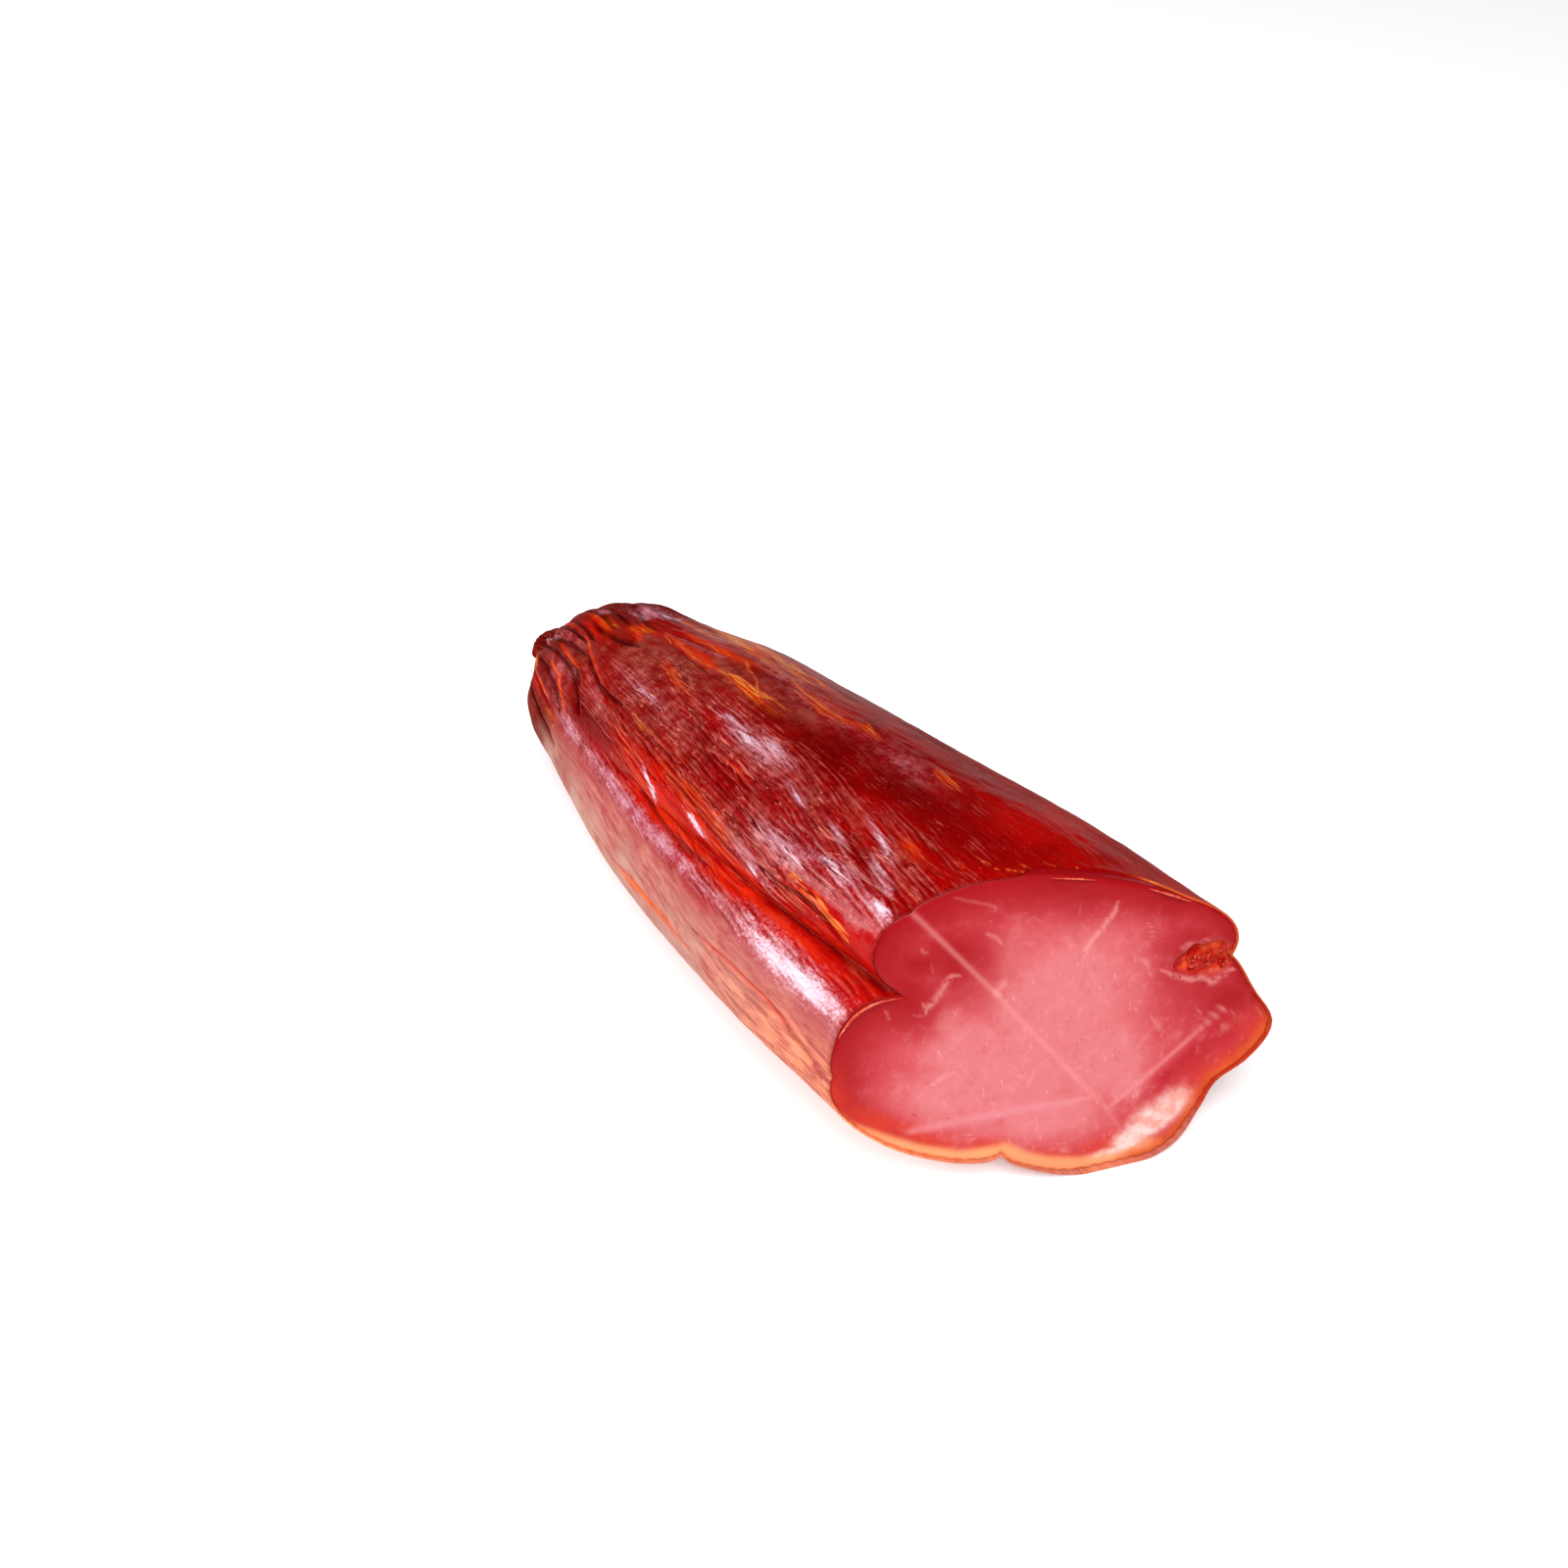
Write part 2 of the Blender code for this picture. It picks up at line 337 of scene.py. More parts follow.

# Creases of the casing: width, depth, then places as distance along the loin and angle. The finish paints
# shade in them, and an orange line where they lie on the flank
CREASES = (
    # Along the flank
    (0.42, 0.7, ((109, 172.2), (122, 171), (136, 171.2), (143, 173.6), (152, 177.8))),
    (0.55, 0.4, ((76, 179), (83, 178), (89, 178), (110, 179.5))),
    # Between the pleats of the gathered end
    (0.6, 1, ((32, 122), (34, 124), (38, 127), (43, 129.5), (49, 130), (56, 129))),
    (1.4, 1, ((24, 104), (28, 104), (33, 103.5), (37, 102), (41, 100))),
    (1.1, 1, ((6, 120), (12, 118), (20, 116), (28, 117))),
    (0.9, 1, ((12, 138), (22, 133), (30, 134), (36, 140), (42, 147))),
    (0.8, 0.9, ((12, 146), (22, 145), (29, 149), (34, 156))),
    (0.9, 0.8, ((8, 129), (16, 128), (24, 124), (31, 123))),
    (0.9, 0.9, ((10, 106), (17, 107), (24, 110), (29, 113))),
    (1, 0.9, ((8, 92), (15, 93), (22, 95), (29, 98))),
    (1.1, 1, ((10, 168), (19, 170), (27, 172), (36, 173))),
    (1.2, 0.9, ((8, 82), (16, 82), (23, 85), (31, 90))),
    (0.8, 0.8, ((14, 158), (21, 158), (28, 161), (34, 166))),
    (1, 0.8, ((10, 66), (18, 66), (24, 70), (33, 80), (40, 82))),
    (1.5, 0.9, ((32.5, 132), (34, 134.5), (36, 137))),
    # Under the shoulder, beside the seams and along the glowing side
    (0.5, 0.8, ((118, 139), (124, 140), (131, 138), (138, 139), (146, 142.5), (154, 146))),
    (0.7, 0.7, ((38, 78), (46, 77.5), (54, 77), (60, 75))),
    (0.5, 0.6, ((46, 88), (56, 90.5), (64, 91), (72, 89.5))),
    (0.5, 0.7, ((76, 149), (84, 151.5), (92, 153), (104, 153))),
    (0.4, 0.6, ((82, 136), (92, 137), (100, 139.5), (108, 141.5), (116, 143))),
)

# Seams of fat that show through the casing: width, how yellow, strands, then places
SEAMS = (
    # The long seams on top and what links them
    (2.1, 0.3, 30, ((42, 71), (48, 73.5), (54, 73.5), (60, 71.5), (66, 68), (73, 65))),
    (1.5, 0.4, 24, ((39, 80), (44, 83), (50, 86), (57, 88), (64, 87.5), (70, 84.5))),
    (0.8, 0.75, 14, ((66, 85.5), (71, 83), (78, 82.3), (90, 81))),
    (0.6, 0.6, 6, ((65, 70), (70, 74), (74, 77), (78, 81))),
    # Fields of fat on the far side of the top
    (2.6, 0.9, 22, ((42, 45), (48, 50), (53, 55), (60, 57))),
    (2.4, 0.8, 24, ((50, 43), (60, 46), (70, 50), (80, 53))),
    (2, 0.8, 12, ((66, 43), (70, 46), (74, 47))),
    (2, 0.2, 12, ((54, 49), (58, 52), (63, 54))),
    (3.4, 0.4, 30, ((76, 60), (86, 64), (94, 66), (104, 63))),
    (1.6, 0.5, 12, ((100, 61), (103, 62), (108, 62))),
    (1.2, 0.6, 12, ((122, 59), (127, 62), (133, 64))),
    # Spots, stripes and threads of the gathered end
    (2, 0.9, 12, ((11, 148), (14, 150), (18, 150))),
    (2.4, 0.3, 18, ((32, 80), (34, 86), (36, 92), (39, 97))),
    (0.8, 0.3, 8, ((24, 112), (30, 118), (36, 124), (44, 128))),
    (0.8, 0.55, 8, ((19, 139), (27, 142), (34, 149), (40, 157))),
    (1.2, 0.25, 9, ((17, 98), (25, 100), (32, 106))),
    (0.7, 0.6, 5, ((27, 160), (31, 164), (35, 167))),
    (0.7, 0.4, 5, ((15, 152), (22, 154), (29, 158))),
    (0.9, 0.2, 6, ((10, 111), (18, 112), (26, 114))),
    (0.8, 0.35, 6, ((20, 126), (28, 129), (34, 129))),
    # Streaks along the body
    (1.8, 0.45, 12, ((52, 101), (60, 104), (68, 106))),
    (0.4, 0.9, 3, ((60, 127.5), (66, 128.8), (72, 128.6))),
    (0.9, 0.5, 12, ((78, 179), (84, 178), (92, 178), (110, 178.5))),
    (1, 0.7, 14, ((126, 134.5), (134, 136), (142, 139), (147, 141.5))),
    (0.9, 0.35, 10, ((136, 102), (140, 103.5), (146, 106))),
    # Strokes along the edge of the cut
    (0.7, 1, 5, ((171, 47), (173, 43.5), (175, 41))),
    (0.5, 0.8, 4, ((158, 83), (161, 81))),
    (0.5, 0.7, 4, ((160, 74), (163, 72.5))),
    (0.4, 0.8, 3, ((152, 92), (155.5, 91))),
    (0.5, 0.6, 4, ((150, 99), (153.5, 98.5))),
    (0.5, 0.9, 4, ((164, 66), (167, 65))),
    (0.4, 0.8, 4, ((154, 97), (160, 86), (165, 76), (168, 68))),
    # Threads of the glowing side
    (1.3, 0.25, 14, ((84, 133), (92, 134), (102, 137), (112, 140))),
)
STRAND_WIDTH = 0.26

# Patches of the casing by kind: place along and angle, reach both ways in millimetres, tilt
PATCHES = {
    "glow": (
        (90, 140, 17, 4.2, 6), (108, 144, 22, 3.6, 3), (82, 148, 12, 3.4, 4), (112, 151.5, 44, 2.4, 0),
        (136, 137, 9, 1.8, 8), (141.5, 104, 4.5, 1.5, 14), (36, 89, 3.5, 4.5, 30),
        (138, 144.5, 22, 3.4, 4), (86, 142, 18, 6, 5), (97, 118, 5, 1.3, 0), (20, 160, 8, 3, 0),
        (59, 51, 5, 2.2, 0), (66, 140, 9, 2, 12), (26, 105, 7, 4, 0), (34, 88, 3, 5, 0),
    ),
    "bright": (
        (142, 103.8, 3, 1, 14), (96, 141, 8, 2, 16), (88, 146, 8, 1.6, 10), (128, 152, 20, 1, 0),
        (84, 136, 10, 1.2, 8), (108, 144, 13, 1.4, 4), (76, 146, 5, 2, 0), (90, 151.5, 10, 2.4, 0),
        (60, 72, 11, 3, 6), (58, 84, 8, 2, 6),
    ),
    "amber": (
        (47, 50, 7, 3.8, 30), (13, 149, 3.2, 3.2, 0), (70, 46, 4, 1.6, 20), (35, 88, 2.6, 4.4, 0),
        (56, 46, 8, 1.6, 0), (28, 99, 3, 2, 0), (31, 164, 2.2, 1.4, 0),
    ),
    # Painted highlights: small white cores of reflected light
    "glint": (
        (139, 159.5, 18, 2.4, 3), (92, 106.5, 3, 0.9, 10), (99, 103.5, 2.4, 0.7, 10), (31, 60, 1.6, 4, 16),
        (137, 108.5, 3.6, 0.5, 26), (112, 112, 2.6, 0.4, 16), (133, 124.6, 4, 0.9, 0),
        (148, 126, 3, 0.8, 0), (79.5, 144.5, 4.4, 0.8, 34), (117, 141.5, 2.6, 0.7, 20),
        (97.5, 143, 3.2, 0.7, 22),
    ),
    "brown": (
        (42, 104, 11, 8, 0), (52, 112, 9, 4.5, 8), (62, 100, 10, 4.5, 6), (40, 92, 7, 4, 0),
        (24, 126, 11, 11, 0), (14, 92, 8, 9, 0), (52, 137, 9, 2.6, 0), (16, 60, 7, 12, 0),
        (48, 102, 14, 6, 0), (74, 73, 16, 5, 0), (68, 84, 18, 6, 0), (76, 60, 14, 5, 0),
        (56, 97, 13, 5, 0), (88, 78, 10, 4, 0), (22, 170, 10, 9, 0), (66, 122, 14, 4, 0),
    ),
    "dark": (
        (34, 103, 7, 2.2, -6), (10, 72, 7, 8, 0), (22, 110, 9, 4, 0), (48, 144, 15, 3.6, 2),
        (68, 133.5, 10, 2, 0), (30, 150, 6, 3, 0), (92, 118, 24, 3.2, 4), (104, 90, 20, 6, 0),
        (128, 84, 26, 9, 8), (138, 118, 16, 2.2, 16), (17, 80, 7, 22, 0), (41, 146, 9, 6, 0),
        (27, 138, 7, 18, 0), (24, 171, 5, 3, 0),
    ),
    # Greyish mauve patches: partly the casing's own tone, partly the fainter reach of the painted sheens
    "mauve": (
        (70, 54, 7, 3.2, 10), (74, 61, 11, 4.5, 6), (57, 79, 9, 1.5, -8), (90, 66, 13, 4.5, 6),
        (118, 68, 11, 5, 16), (118, 129, 13, 3.4, 4), (143, 132, 11, 3, 8), (100, 108, 14, 4, 8),
        (60, 118, 14, 3, 0), (80, 157.5, 46, 2.6, 2), (50, 159, 20, 3.4, 0), (130, 161, 26, 3.4, 3),
        (20, 118, 8, 5, 20), (45, 134.5, 6, 1.6, 20), (50, 63, 9, 2.5, 10), (26, 140, 7, 5, 30),
    ),
    "golden": (
        (44, 46, 9, 3.4, 16), (60, 44, 12, 2.2, 6), (36, 56, 5, 2, 30), (56, 52, 7, 1.6, 10),
        (80, 46, 10, 1.6, 8), (60, 57, 13, 2.6, 6), (43, 61, 8, 2.4, 14), (78, 86, 9, 1.6, 4),
    ),
    "spotted": (
        (84, 158, 26, 3, 2), (110, 161, 16, 2.4, 4), (50, 162, 14, 2.4, 4), (66, 168, 22, 2.4, 3),
    ),
    # Painted sheens: lavender patches that stand for light reflected off the glossy casing
    "sheen": (
        (27, 64, 5.5, 8, 10), (32, 58, 2.6, 6.5, 16), (28.5, 75, 3.4, 3.4, -30), (82, 157, 36, 1.9, 1),
        (133, 125, 8.5, 1.9, 0), (147, 126.5, 6, 1.8, 10), (121, 129, 9, 2.3, 6), (137, 109, 6, 0.9, 26),
        (112, 112, 4.6, 0.8, 16), (93, 106.5, 8, 2.2, 6), (99, 103, 6, 1.6, 6), (84, 104, 7, 1.8, 0),
        (79, 144, 4.2, 1, 30), (97.5, 143, 4.2, 0.9, 12), (138, 159.5, 20, 3.6, 3),
        (42, 156.5, 7, 2.8, -6), (66, 155, 12, 1.2, 0), (116, 140.5, 8, 1.8, 14), (57, 118, 8, 0.9, 2),
        (128, 115, 6, 0.9, 22), (143, 118, 5, 1.2, 22), (22, 92, 2.4, 3.5, 0), (16, 128, 2.2, 4, 20),
    ),
}


def skin_places(angle, x):
    """Places on the opened-out casing, in millimetres along and round."""
    return x, angle * MM_A_DEGREE


def on_skin(points):
    return [(x, angle * MM_A_DEGREE) for x, angle in points]


def ovals(at, places, degree=1.0):
    """The strongest of several oval patches at each place."""
    best = 0.0
    for a, b, reach_a, reach_b, tilt in places:
        best = np.maximum(best, patch_mask(at, (a, b * degree), (reach_a, reach_b), tilt))
    return best


def draw(layer, angle, x, path, width, strength, tip=0.3):
    """Draws a line on a layer of the casing's grid, where it is stronger than what is there."""
    places = np.array(path)
    low = places.min(0)
    high = places.max(0)
    margin = 3 * width / MM_A_DEGREE
    first, last = np.searchsorted(angle[0], (low[1] - margin, high[1] + margin)) + (-1, 1)
    first = max(first, 0)
    column = min((first + last) // 2, layer.shape[1] - 1)
    start, end = np.searchsorted(x[:, column], (low[0] - 3, high[0] + 3))
    window = (slice(start, end), slice(first, last))
    mask = strength * line_mask(skin_places(angle[window], x[window]), on_skin(path), width, tip)
    layer[window] = np.maximum(layer[window], mask)


def draw_folds(crest, valley, angle, x):
    """Bundles of fine folds: raised crests with painted highlights, each with a sunken valley of painted
    shade beside it.
    """
    rng = np.random.default_rng(FOLD_SEED)
    for start, end, low, high, bundles, long, drift, light, dark in FOLDS:
        for _ in range(bundles):
            middle = rng.uniform(start, end)
            centre = rng.uniform(low, high)
            spacing = rng.uniform(1.3, 2.5)
            slope = drift + rng.normal(0, 0.10)
            bend = rng.normal(0, 0.005)
            for i in range(rng.integers(2, 7)):
                half = long * rng.uniform(0.3, 0.8)
                along = np.linspace(-half, half, 7) + rng.normal(0, long / 3)
                line = centre + spacing * (i - 2) + slope * along + bend * along**2
                line = line + 2.4 * (rough((middle + along) / 7, line / 360, 90, 61, 2) - 0.5)
                width = rng.uniform(0.15, 0.30)
                places = list(zip(middle + along, line))
                draw(crest, angle, x, places, width, light * rng.uniform(0.35, 1.4))
                places = list(zip(middle + along, line + rng.uniform(0.35, 0.6) * spacing))
                draw(valley, angle, x, places, 1.3 * width, dark * rng.uniform(0.3, 1.0))


def draw_seams(seam, yellow, angle, x):
    """Feathery strands of fat that run along each seam."""
    rng = np.random.default_rng(FOLD_SEED)
    for width, tint, strands, points in SEAMS:
        places, angles = np.array(points, float).T
        draw(seam, angle, x, points, 0.8 * width, 0.6)
        draw(yellow, angle, x, points, width, tint)
        for _ in range(strands):
            share = np.sort(rng.uniform(0, 1, 2))
            share[1] = max(share[1], share[0] + 0.18)
            line = places[0] + (places[-1] - places[0]) * np.linspace(*share, 9)
            aside = rng.normal(0, 0.6) * width / MM_A_DEGREE
            round_about = np.interp(line, places, angles) + aside
            round_about = round_about + 3.0 * (rough(line / 6, round_about / 360, 90, 71, 2) - 0.5)
            path = list(zip(line, round_about))
            draw(seam, angle, x, path, STRAND_WIDTH * rng.uniform(0.7, 1.7), rng.uniform(0.5, 1.0))
            draw(yellow, angle, x, path, 0.3 + STRAND_WIDTH, np.clip(tint + rng.normal(0, 0.2), 0, 1), 0.05)


def draw_casing(angle, x):
    """Layers of lines drawn on the casing's grid: crests, valleys, seams and how yellow they are."""
    layers = {name: np.zeros(angle.shape) for name in ("crest", "valley", "seam", "yellow", "crease")}
    draw_folds(layers["crest"], layers["valley"], angle, x)
    draw_seams(layers["seam"], layers["yellow"], angle, x)
    for width, deepest, points in CREASES:
        draw(layers["crease"], angle, x, points, width, deepest, 0.2)
    return layers


def casing_relief(angle, x, layers):
    """How far the skin lies inside the plain form."""
    depth = CREST_HEIGHT * (1 - layers["crest"]) + VALLEY_DEPTH * layers["valley"]
    depth = depth + CREASE_DEPTH * layers["crease"]
    depth = depth + LUMP_DEPTH * rough(x / 17, angle / 360, 20, 41) * ease(6, 30, x)
    depth = depth + BUMP_DEPTH * rough(x / 4, angle / 360, 90, 45, 2) * ease(6, 30, x)
    tail = 1 - ease(14, 46, x)
    folds = crests(x / 13, (angle + 0.3 * x) / 360, 46, 51)
    return depth + TAIL_RIDGES * tail * (1 - folds) ** 2 * ease(0, NUB_LENGTH, x)


def solve_rings(angles, cut_reach, steps, inward, floor=0.0):
    """Rings from the gathered end to the knife's plane, where each step is a ring's share of the way."""
    angle, t = np.broadcast_arrays(angles[None, :], steps[:, None])
    square_x = np.broadcast_to(cut_reach, angle.shape) * t**ROW_CROWDING
    slant = ease(0.1, 1, t)
    x = square_x
    for _ in range(RING_STEPS):
        y, z = section(angle, x, inward, floor)
        x = square_x + slant * knife_plane(y, z)
    return angle, x


def edge_reach(angles, inward):
    """How far along the loin the knife's plane cuts a surface a little inside the form."""
    return solve_rings(angles, CUT_REACH, np.array([1.0]), inward)[1][0]


def form_middle():
    """The middle of the form sideways, in millimetres."""
    angles = np.linspace(0, 360, 721)
    y, _ = section(angles, edge_reach(angles, 0.0))
    return (y.min() + y.max()) / 2


FORM_MIDDLE = form_middle()


def closing_rows(ring, centre, shares):
    """Rings drawn together towards a point."""
    return [centre + share * (ring - centre) for share in shares]


def stand_in_place(points):
    """From millimetres of the loin's form to metres where the solid stands."""
    low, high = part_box(LOIN)
    return points * MM + np.array([low.x, (low.y + high.y) / 2 - FORM_MIDDLE * MM, low.z])


def add_object(name, mesh, finish):
    mesh.materials.append(finish)
    thing = bpy.data.objects.new(name, mesh)
    bpy.context.scene.collection.objects.link(thing)
    return thing


def add_piece(name, mesh, finish):
    """Puts a finished mesh in the scene as a part of the loin."""
    mesh.shade_smooth()
    piece = add_object(name, mesh, finish)
    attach(piece, BODY)
    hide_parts(LOIN)


def make_sheet(name, points, chart, masks, finish):
    """A closed piece rolled from a grid of points, with its chart and masks kept on it."""
    rows, columns = points.shape[:2]
    bm = bmesh.new()
    bmesh.ops.create_grid(bm, x_segments=columns - 1, y_segments=rows - 1, size=1)
    for vert in bm.verts:
        row = round((vert.co.y + 1) / 2 * (rows - 1))
        column = round((vert.co.x + 1) / 2 * (columns - 1))
        vert.co = points[row, column]
        vert.index = row * columns + column
    bm.verts.sort()
    mesh = bpy.data.meshes.new(name)
    bm.to_mesh(mesh)
    bm.free()
    corner = np.empty(len(mesh.loops), int)
    mesh.loops.foreach_get("vertex_index", corner)
    layer = mesh.uv_layers.new(name="skin")
    layer.data.foreach_set("uv", chart.reshape(-1, 2)[corner].ravel().astype(np.float32))
    for title, values in masks.items():
        attribute = mesh.attributes.new(title, "FLOAT_COLOR", "POINT")
        attribute.data.foreach_set("color", values.reshape(-1).astype(np.float32))
    bm = bmesh.new()
    bm.from_mesh(mesh)
    bmesh.ops.remove_doubles(bm, verts=bm.verts, dist=1e-7)
    bmesh.ops.recalc_face_normals(bm, faces=bm.faces)
    bm.to_mesh(mesh)
    bm.free()
    add_piece(name, mesh, finish)


def setback(angle):
    """How far the casing has drawn back from the cut."""
    ragged = 0.5 * rough(angle / 4, 0 * angle, 4, 61)
    return (SETBACK + ragged) * between(SETBACK_FROM, SETBACK_TO, SETBACK_FADE, np.mod(angle, 360))


def casing_points(angles):
    """Grid of points of the casing, from its gathered end over its lip to its lining, and its layers."""
    steps = np.linspace(0, 1, CASING_ROWS)[1:]
    angle, x = solve_rings(angles, CUT_REACH - LIP_SET - setback(angles), steps, CASING_INSET)
    layers = draw_casing(angle, x)
    relief = casing_relief(angle, x, layers)
    layers["to_cut"] = CUT_REACH - x + knife_plane(*section(angle, x))
    relief = relief * (RELIEF_AT_CUT + (1 - RELIEF_AT_CUT) * ease(0, RELIEF_FADE, layers["to_cut"]))
    y, z = section(angle, x, relief)
    rows = [*np.stack([x, y, z], -1)]
    last_x = x[-1]
    for turn in LIP_TURNS:
        turn = math.radians(turn)
        inward = relief[-1] + WALL / 2 * (1 - math.cos(turn))
        y, z = section(angles, last_x, inward, inward.min())
        rows.append(np.stack([last_x + WALL / 2 * math.sin(turn), y, z], -1))
    for back in LINING_STEPS:
        y, z = section(angles, last_x - back, relief[-1] + WALL, WALL)
        rows.append(np.stack([last_x - back, y, z], -1))
    rows.extend(closing_rows(rows[-1], rows[-1].mean(0), CLOSING_SHARES))
    hidden = len(rows) - len(x)
    end = np.array([0, curve(SWAY, 0), curve(TAPER, 0) * CENTRE_HEIGHT + GATHER_LIFT])
    rows.insert(0, np.tile(end, (len(angles), 1)))
    layers["angle"] = angle
    layers["x"] = x
    for name, layer in layers.items():
        layers[name] = np.concatenate([layer[:1], layer, *[layer[-1:]] * hidden])
    return np.stack(rows), layers


# Zones of the casing: where each begins and ends, in degrees round it or in millimetres along it
FLANK_TOP = (157, 165)
FLANK_FOOT = (300, 330)
FLANK_START = (26, 60)
PEACH_TOP = (164, 178)
PEACH_FOOT = (205, 230)
PEACH_START = (96, 146)
GREYED_TOP = (160, 182)
GREYED_FOOT = (200, 220)
GREYED_START = (20, 40)
GREYED_END = (90, 150)
# The far side, where the finish paints paler streaks, partly its own tone and partly a reflection of grazing
# light
FAR_SIDE = (-20, 40, 7)
FAR_START = (84, 110)
TAIL_END = (22, 44)
# Outside this span round the loin, the lip at the cut is light orange and carries a painted glow
RED_LIP = (46, 186, 6)
LIP_BAND = 1.2
WRINKLED_SIDE = (97, 136, 7)
WRINKLED_START = (38, 60)
SMOOTH_START = (132, 146)
SMOOTH_TOP = (112, 124)


def casing_masks(layers):
    """How strongly each kind of mark shows on the casing, four kinds to an attribute."""
    angle = layers["angle"]
    x = layers["x"]
    at = skin_places(angle, x)
    warp = 2.2 * (rough(x / 6, angle / 360, 80, 71) - 0.5)
    warped = (at[0] + 3 * warp, at[1] + warp)
    patch = {kind: ovals(warped, places, MM_A_DEGREE) for kind, places in PATCHES.items()}
    turn = np.mod(angle, 360)
    ragged = 5 * (rough(x / 12, angle / 360, 60, 75) - 0.5)
    flank = ease(*FLANK_TOP, turn + ragged) * (1 - ease(*FLANK_FOOT, turn)) * ease(*FLANK_START, x)
    peach = ease(*PEACH_TOP, turn) * (1 - ease(*PEACH_FOOT, turn)) * ease(*PEACH_START, x)
    greyed = ease(*GREYED_TOP, turn) * (1 - ease(*GREYED_FOOT, turn))
    greyed = greyed * (1 - ease(*GREYED_END, x)) * ease(*GREYED_START, x)
    far_side = between(*FAR_SIDE, (angle + 90) % 360 - 90) * ease(*FAR_START, x)
    edge = 1 - ease(0.0, LIP_BAND, layers["to_cut"] - setback(angle))
    tail = 1 - ease(*TAIL_END, x)
    orange_lip_and_glow = 1 - between(*RED_LIP, turn)
    ripples = np.clip(layers["crest"] + layers["valley"] + patch["sheen"], 0, 1)
    wrinkled = between(*WRINKLED_SIDE, turn - 0.12 * (x - 80) + ragged) * ease(*WRINKLED_START, x)
    wrinkled = wrinkled * (1 - ease(*SMOOTH_START, x) * ease(*SMOOTH_TOP, turn))
    kinds = {
        "tones": (patch["glow"], patch["brown"], patch["mauve"], flank),
        "sheens": (patch["sheen"], layers["seam"], layers["yellow"], patch["dark"]),
        "lines": (layers["crest"], layers["valley"], layers["crease"], edge),
        "sides": (far_side, peach, greyed, patch["bright"]),
        "spots": (patch["spotted"], ripples, orange_lip_and_glow, patch["golden"]),
        "ends": (tail, wrinkled, patch["amber"], patch["glint"]),
    }
    return {name: np.stack(masks, -1) for name, masks in kinds.items()}


# Lines of the cut face as sideways place and height: half width, strength, places
KNIFE_LINES = {
    "long line": (0.6, 0.9, ((-19.9, 61.0), (-18.5, 59.1), (-8.3, 41.6), (6.9, 13.1))),
    "long line's end": (0.5, 0.45, ((6.9, 13.1), (9.2, 6.6))),
    "right line": (0.45, 1.0, ((7.2, 13.1), (20.0, 20.4), (34.5, 28.9))),
}
LOW_BAND = (1.1, 1.0, ((-30.9, 17.2), (-18, 17.3), (4.0, 16.2)))
MARBLING = (
    (0.5, 1, ((17.9, 54.1), (17.2, 52.7), (14.7, 50.2), (11.9, 48.1), (10.1, 46.3), (9.7, 44.9))),
    (0.55, 0.9, ((-13.9, 46.6), (-15.3, 46.8), (-17.4, 44.9), (-19.2, 42.7), (-21.4, 41.3), (-21.6, 40.4))),
    (0.35, 0.8, ((-21.7, 43.1), (-21.4, 40.9))),
    (0.4, 0.7, ((-7.1, 53.4), (-5.6, 52.2), (-4.9, 50.6))),
    (0.3, 0.4, ((-11.4, 61.6), (-7.5, 60), (-4.2, 58.1), (-4.9, 57.4))),
    (0.45, 0.9, ((19.4, 42.4), (20.8, 40.9), (21.1, 38.4))),
    (0.28, 0.6, ((22.9, 49.1), (23.3, 45.6))),
    (0.4, 0.9, ((27.9, 42.1), (30.2, 42.5), (34, 42.6))),
    (0.6, 1, (
        (23.3, 38.8), (25.4, 37), (28.3, 35.6), (30.8, 35.6), (32.2, 34.1), (34, 34.9), (36.9, 35.8),
    )),
    (0.8, 0.8, ((-8.1, 41.6), (-5.6, 43.9))),
    (0.9, 0.9, ((-8.6, 42.2), (-7.4, 41))),
    (0.5, 0.5, ((-19.3, 53), (-18.6, 52.2))),
    (0.28, 0.5, ((-28.5, 42.7), (-28.2, 40.6))),
    (0.35, 0.4, ((-23.8, 40.6), (-22.2, 40))),
    (1.5, 0.35, ((-20.3, 37), (-15.3, 40.2))),
    (0.35, 0.5, ((-17.9, 35.3), (-17.6, 33.9))),
    (0.4, 0.7, ((-24.2, 25.9), (-21.5, 26.9), (-19, 27.4))),
    (0.35, 0.7, ((-9.9, 22), (-9.7, 20.6))),
    (0.35, 0.6, ((-4.6, 24.5), (-6.7, 21.3))),
    (0.45, 0.6, ((-8.3, 24.4), (-7.2, 23.4))),
    (0.28, 0.6, ((-13.8, 20), (-13.6, 19))),
    (0.3, 0.8, ((16.4, 32.6), (16.8, 31.9))),
    (0.4, 0.6, ((19.4, 30.2), (20, 28), (20.8, 26.3))),
    (0.5, 0.4, ((14.7, 23.8), (17.9, 26.6))),
    (0.9, 0.35, ((22, 24.9), (24.2, 25))),
    (0.3, 0.6, ((28.4, 29), (28.9, 28.6))),
    (0.35, 0.7, ((29.7, 24.5), (31.1, 23.4))),
    (0.5, 0.7, ((32.2, 24.1), (34.6, 24.6), (37.2, 24.5))),
    (0.35, 0.6, ((35.2, 26.6), (35.6, 25.8))),
    (0.35, 0.6, ((40.2, 26.6), (40.6, 25.8))),
    (0.3, 0.8, ((-7.1, 13.8), (-7.4, 11.6))),
    (0.3, 0.8, ((-3.4, 7.7), (-2.4, 4.9))),
    (0.28, 0.7, ((-2.6, 7.7), (-1.9, 5.2))),
    (0.3, 0.8, ((2.4, 12), (2.9, 10.6))),
    (0.28, 0.7, ((13.1, 15.9), (13.6, 13.8))),
    (0.28, 0.6, ((-19.6, 14.1), (-19, 12))),
    (1.8, 0.25, ((-1, 54.5), (-3.5, 49), (-6, 44.5))),
)
FLECKS = 40
FLECK_SEED = 7
TORN = (
    (26.0, 38.6), (29.0, 40.8), (33.0, 41.4), (37.4, 40.6), (37.0, 37.2), (33.6, 36.0), (30.0, 36.8),
)

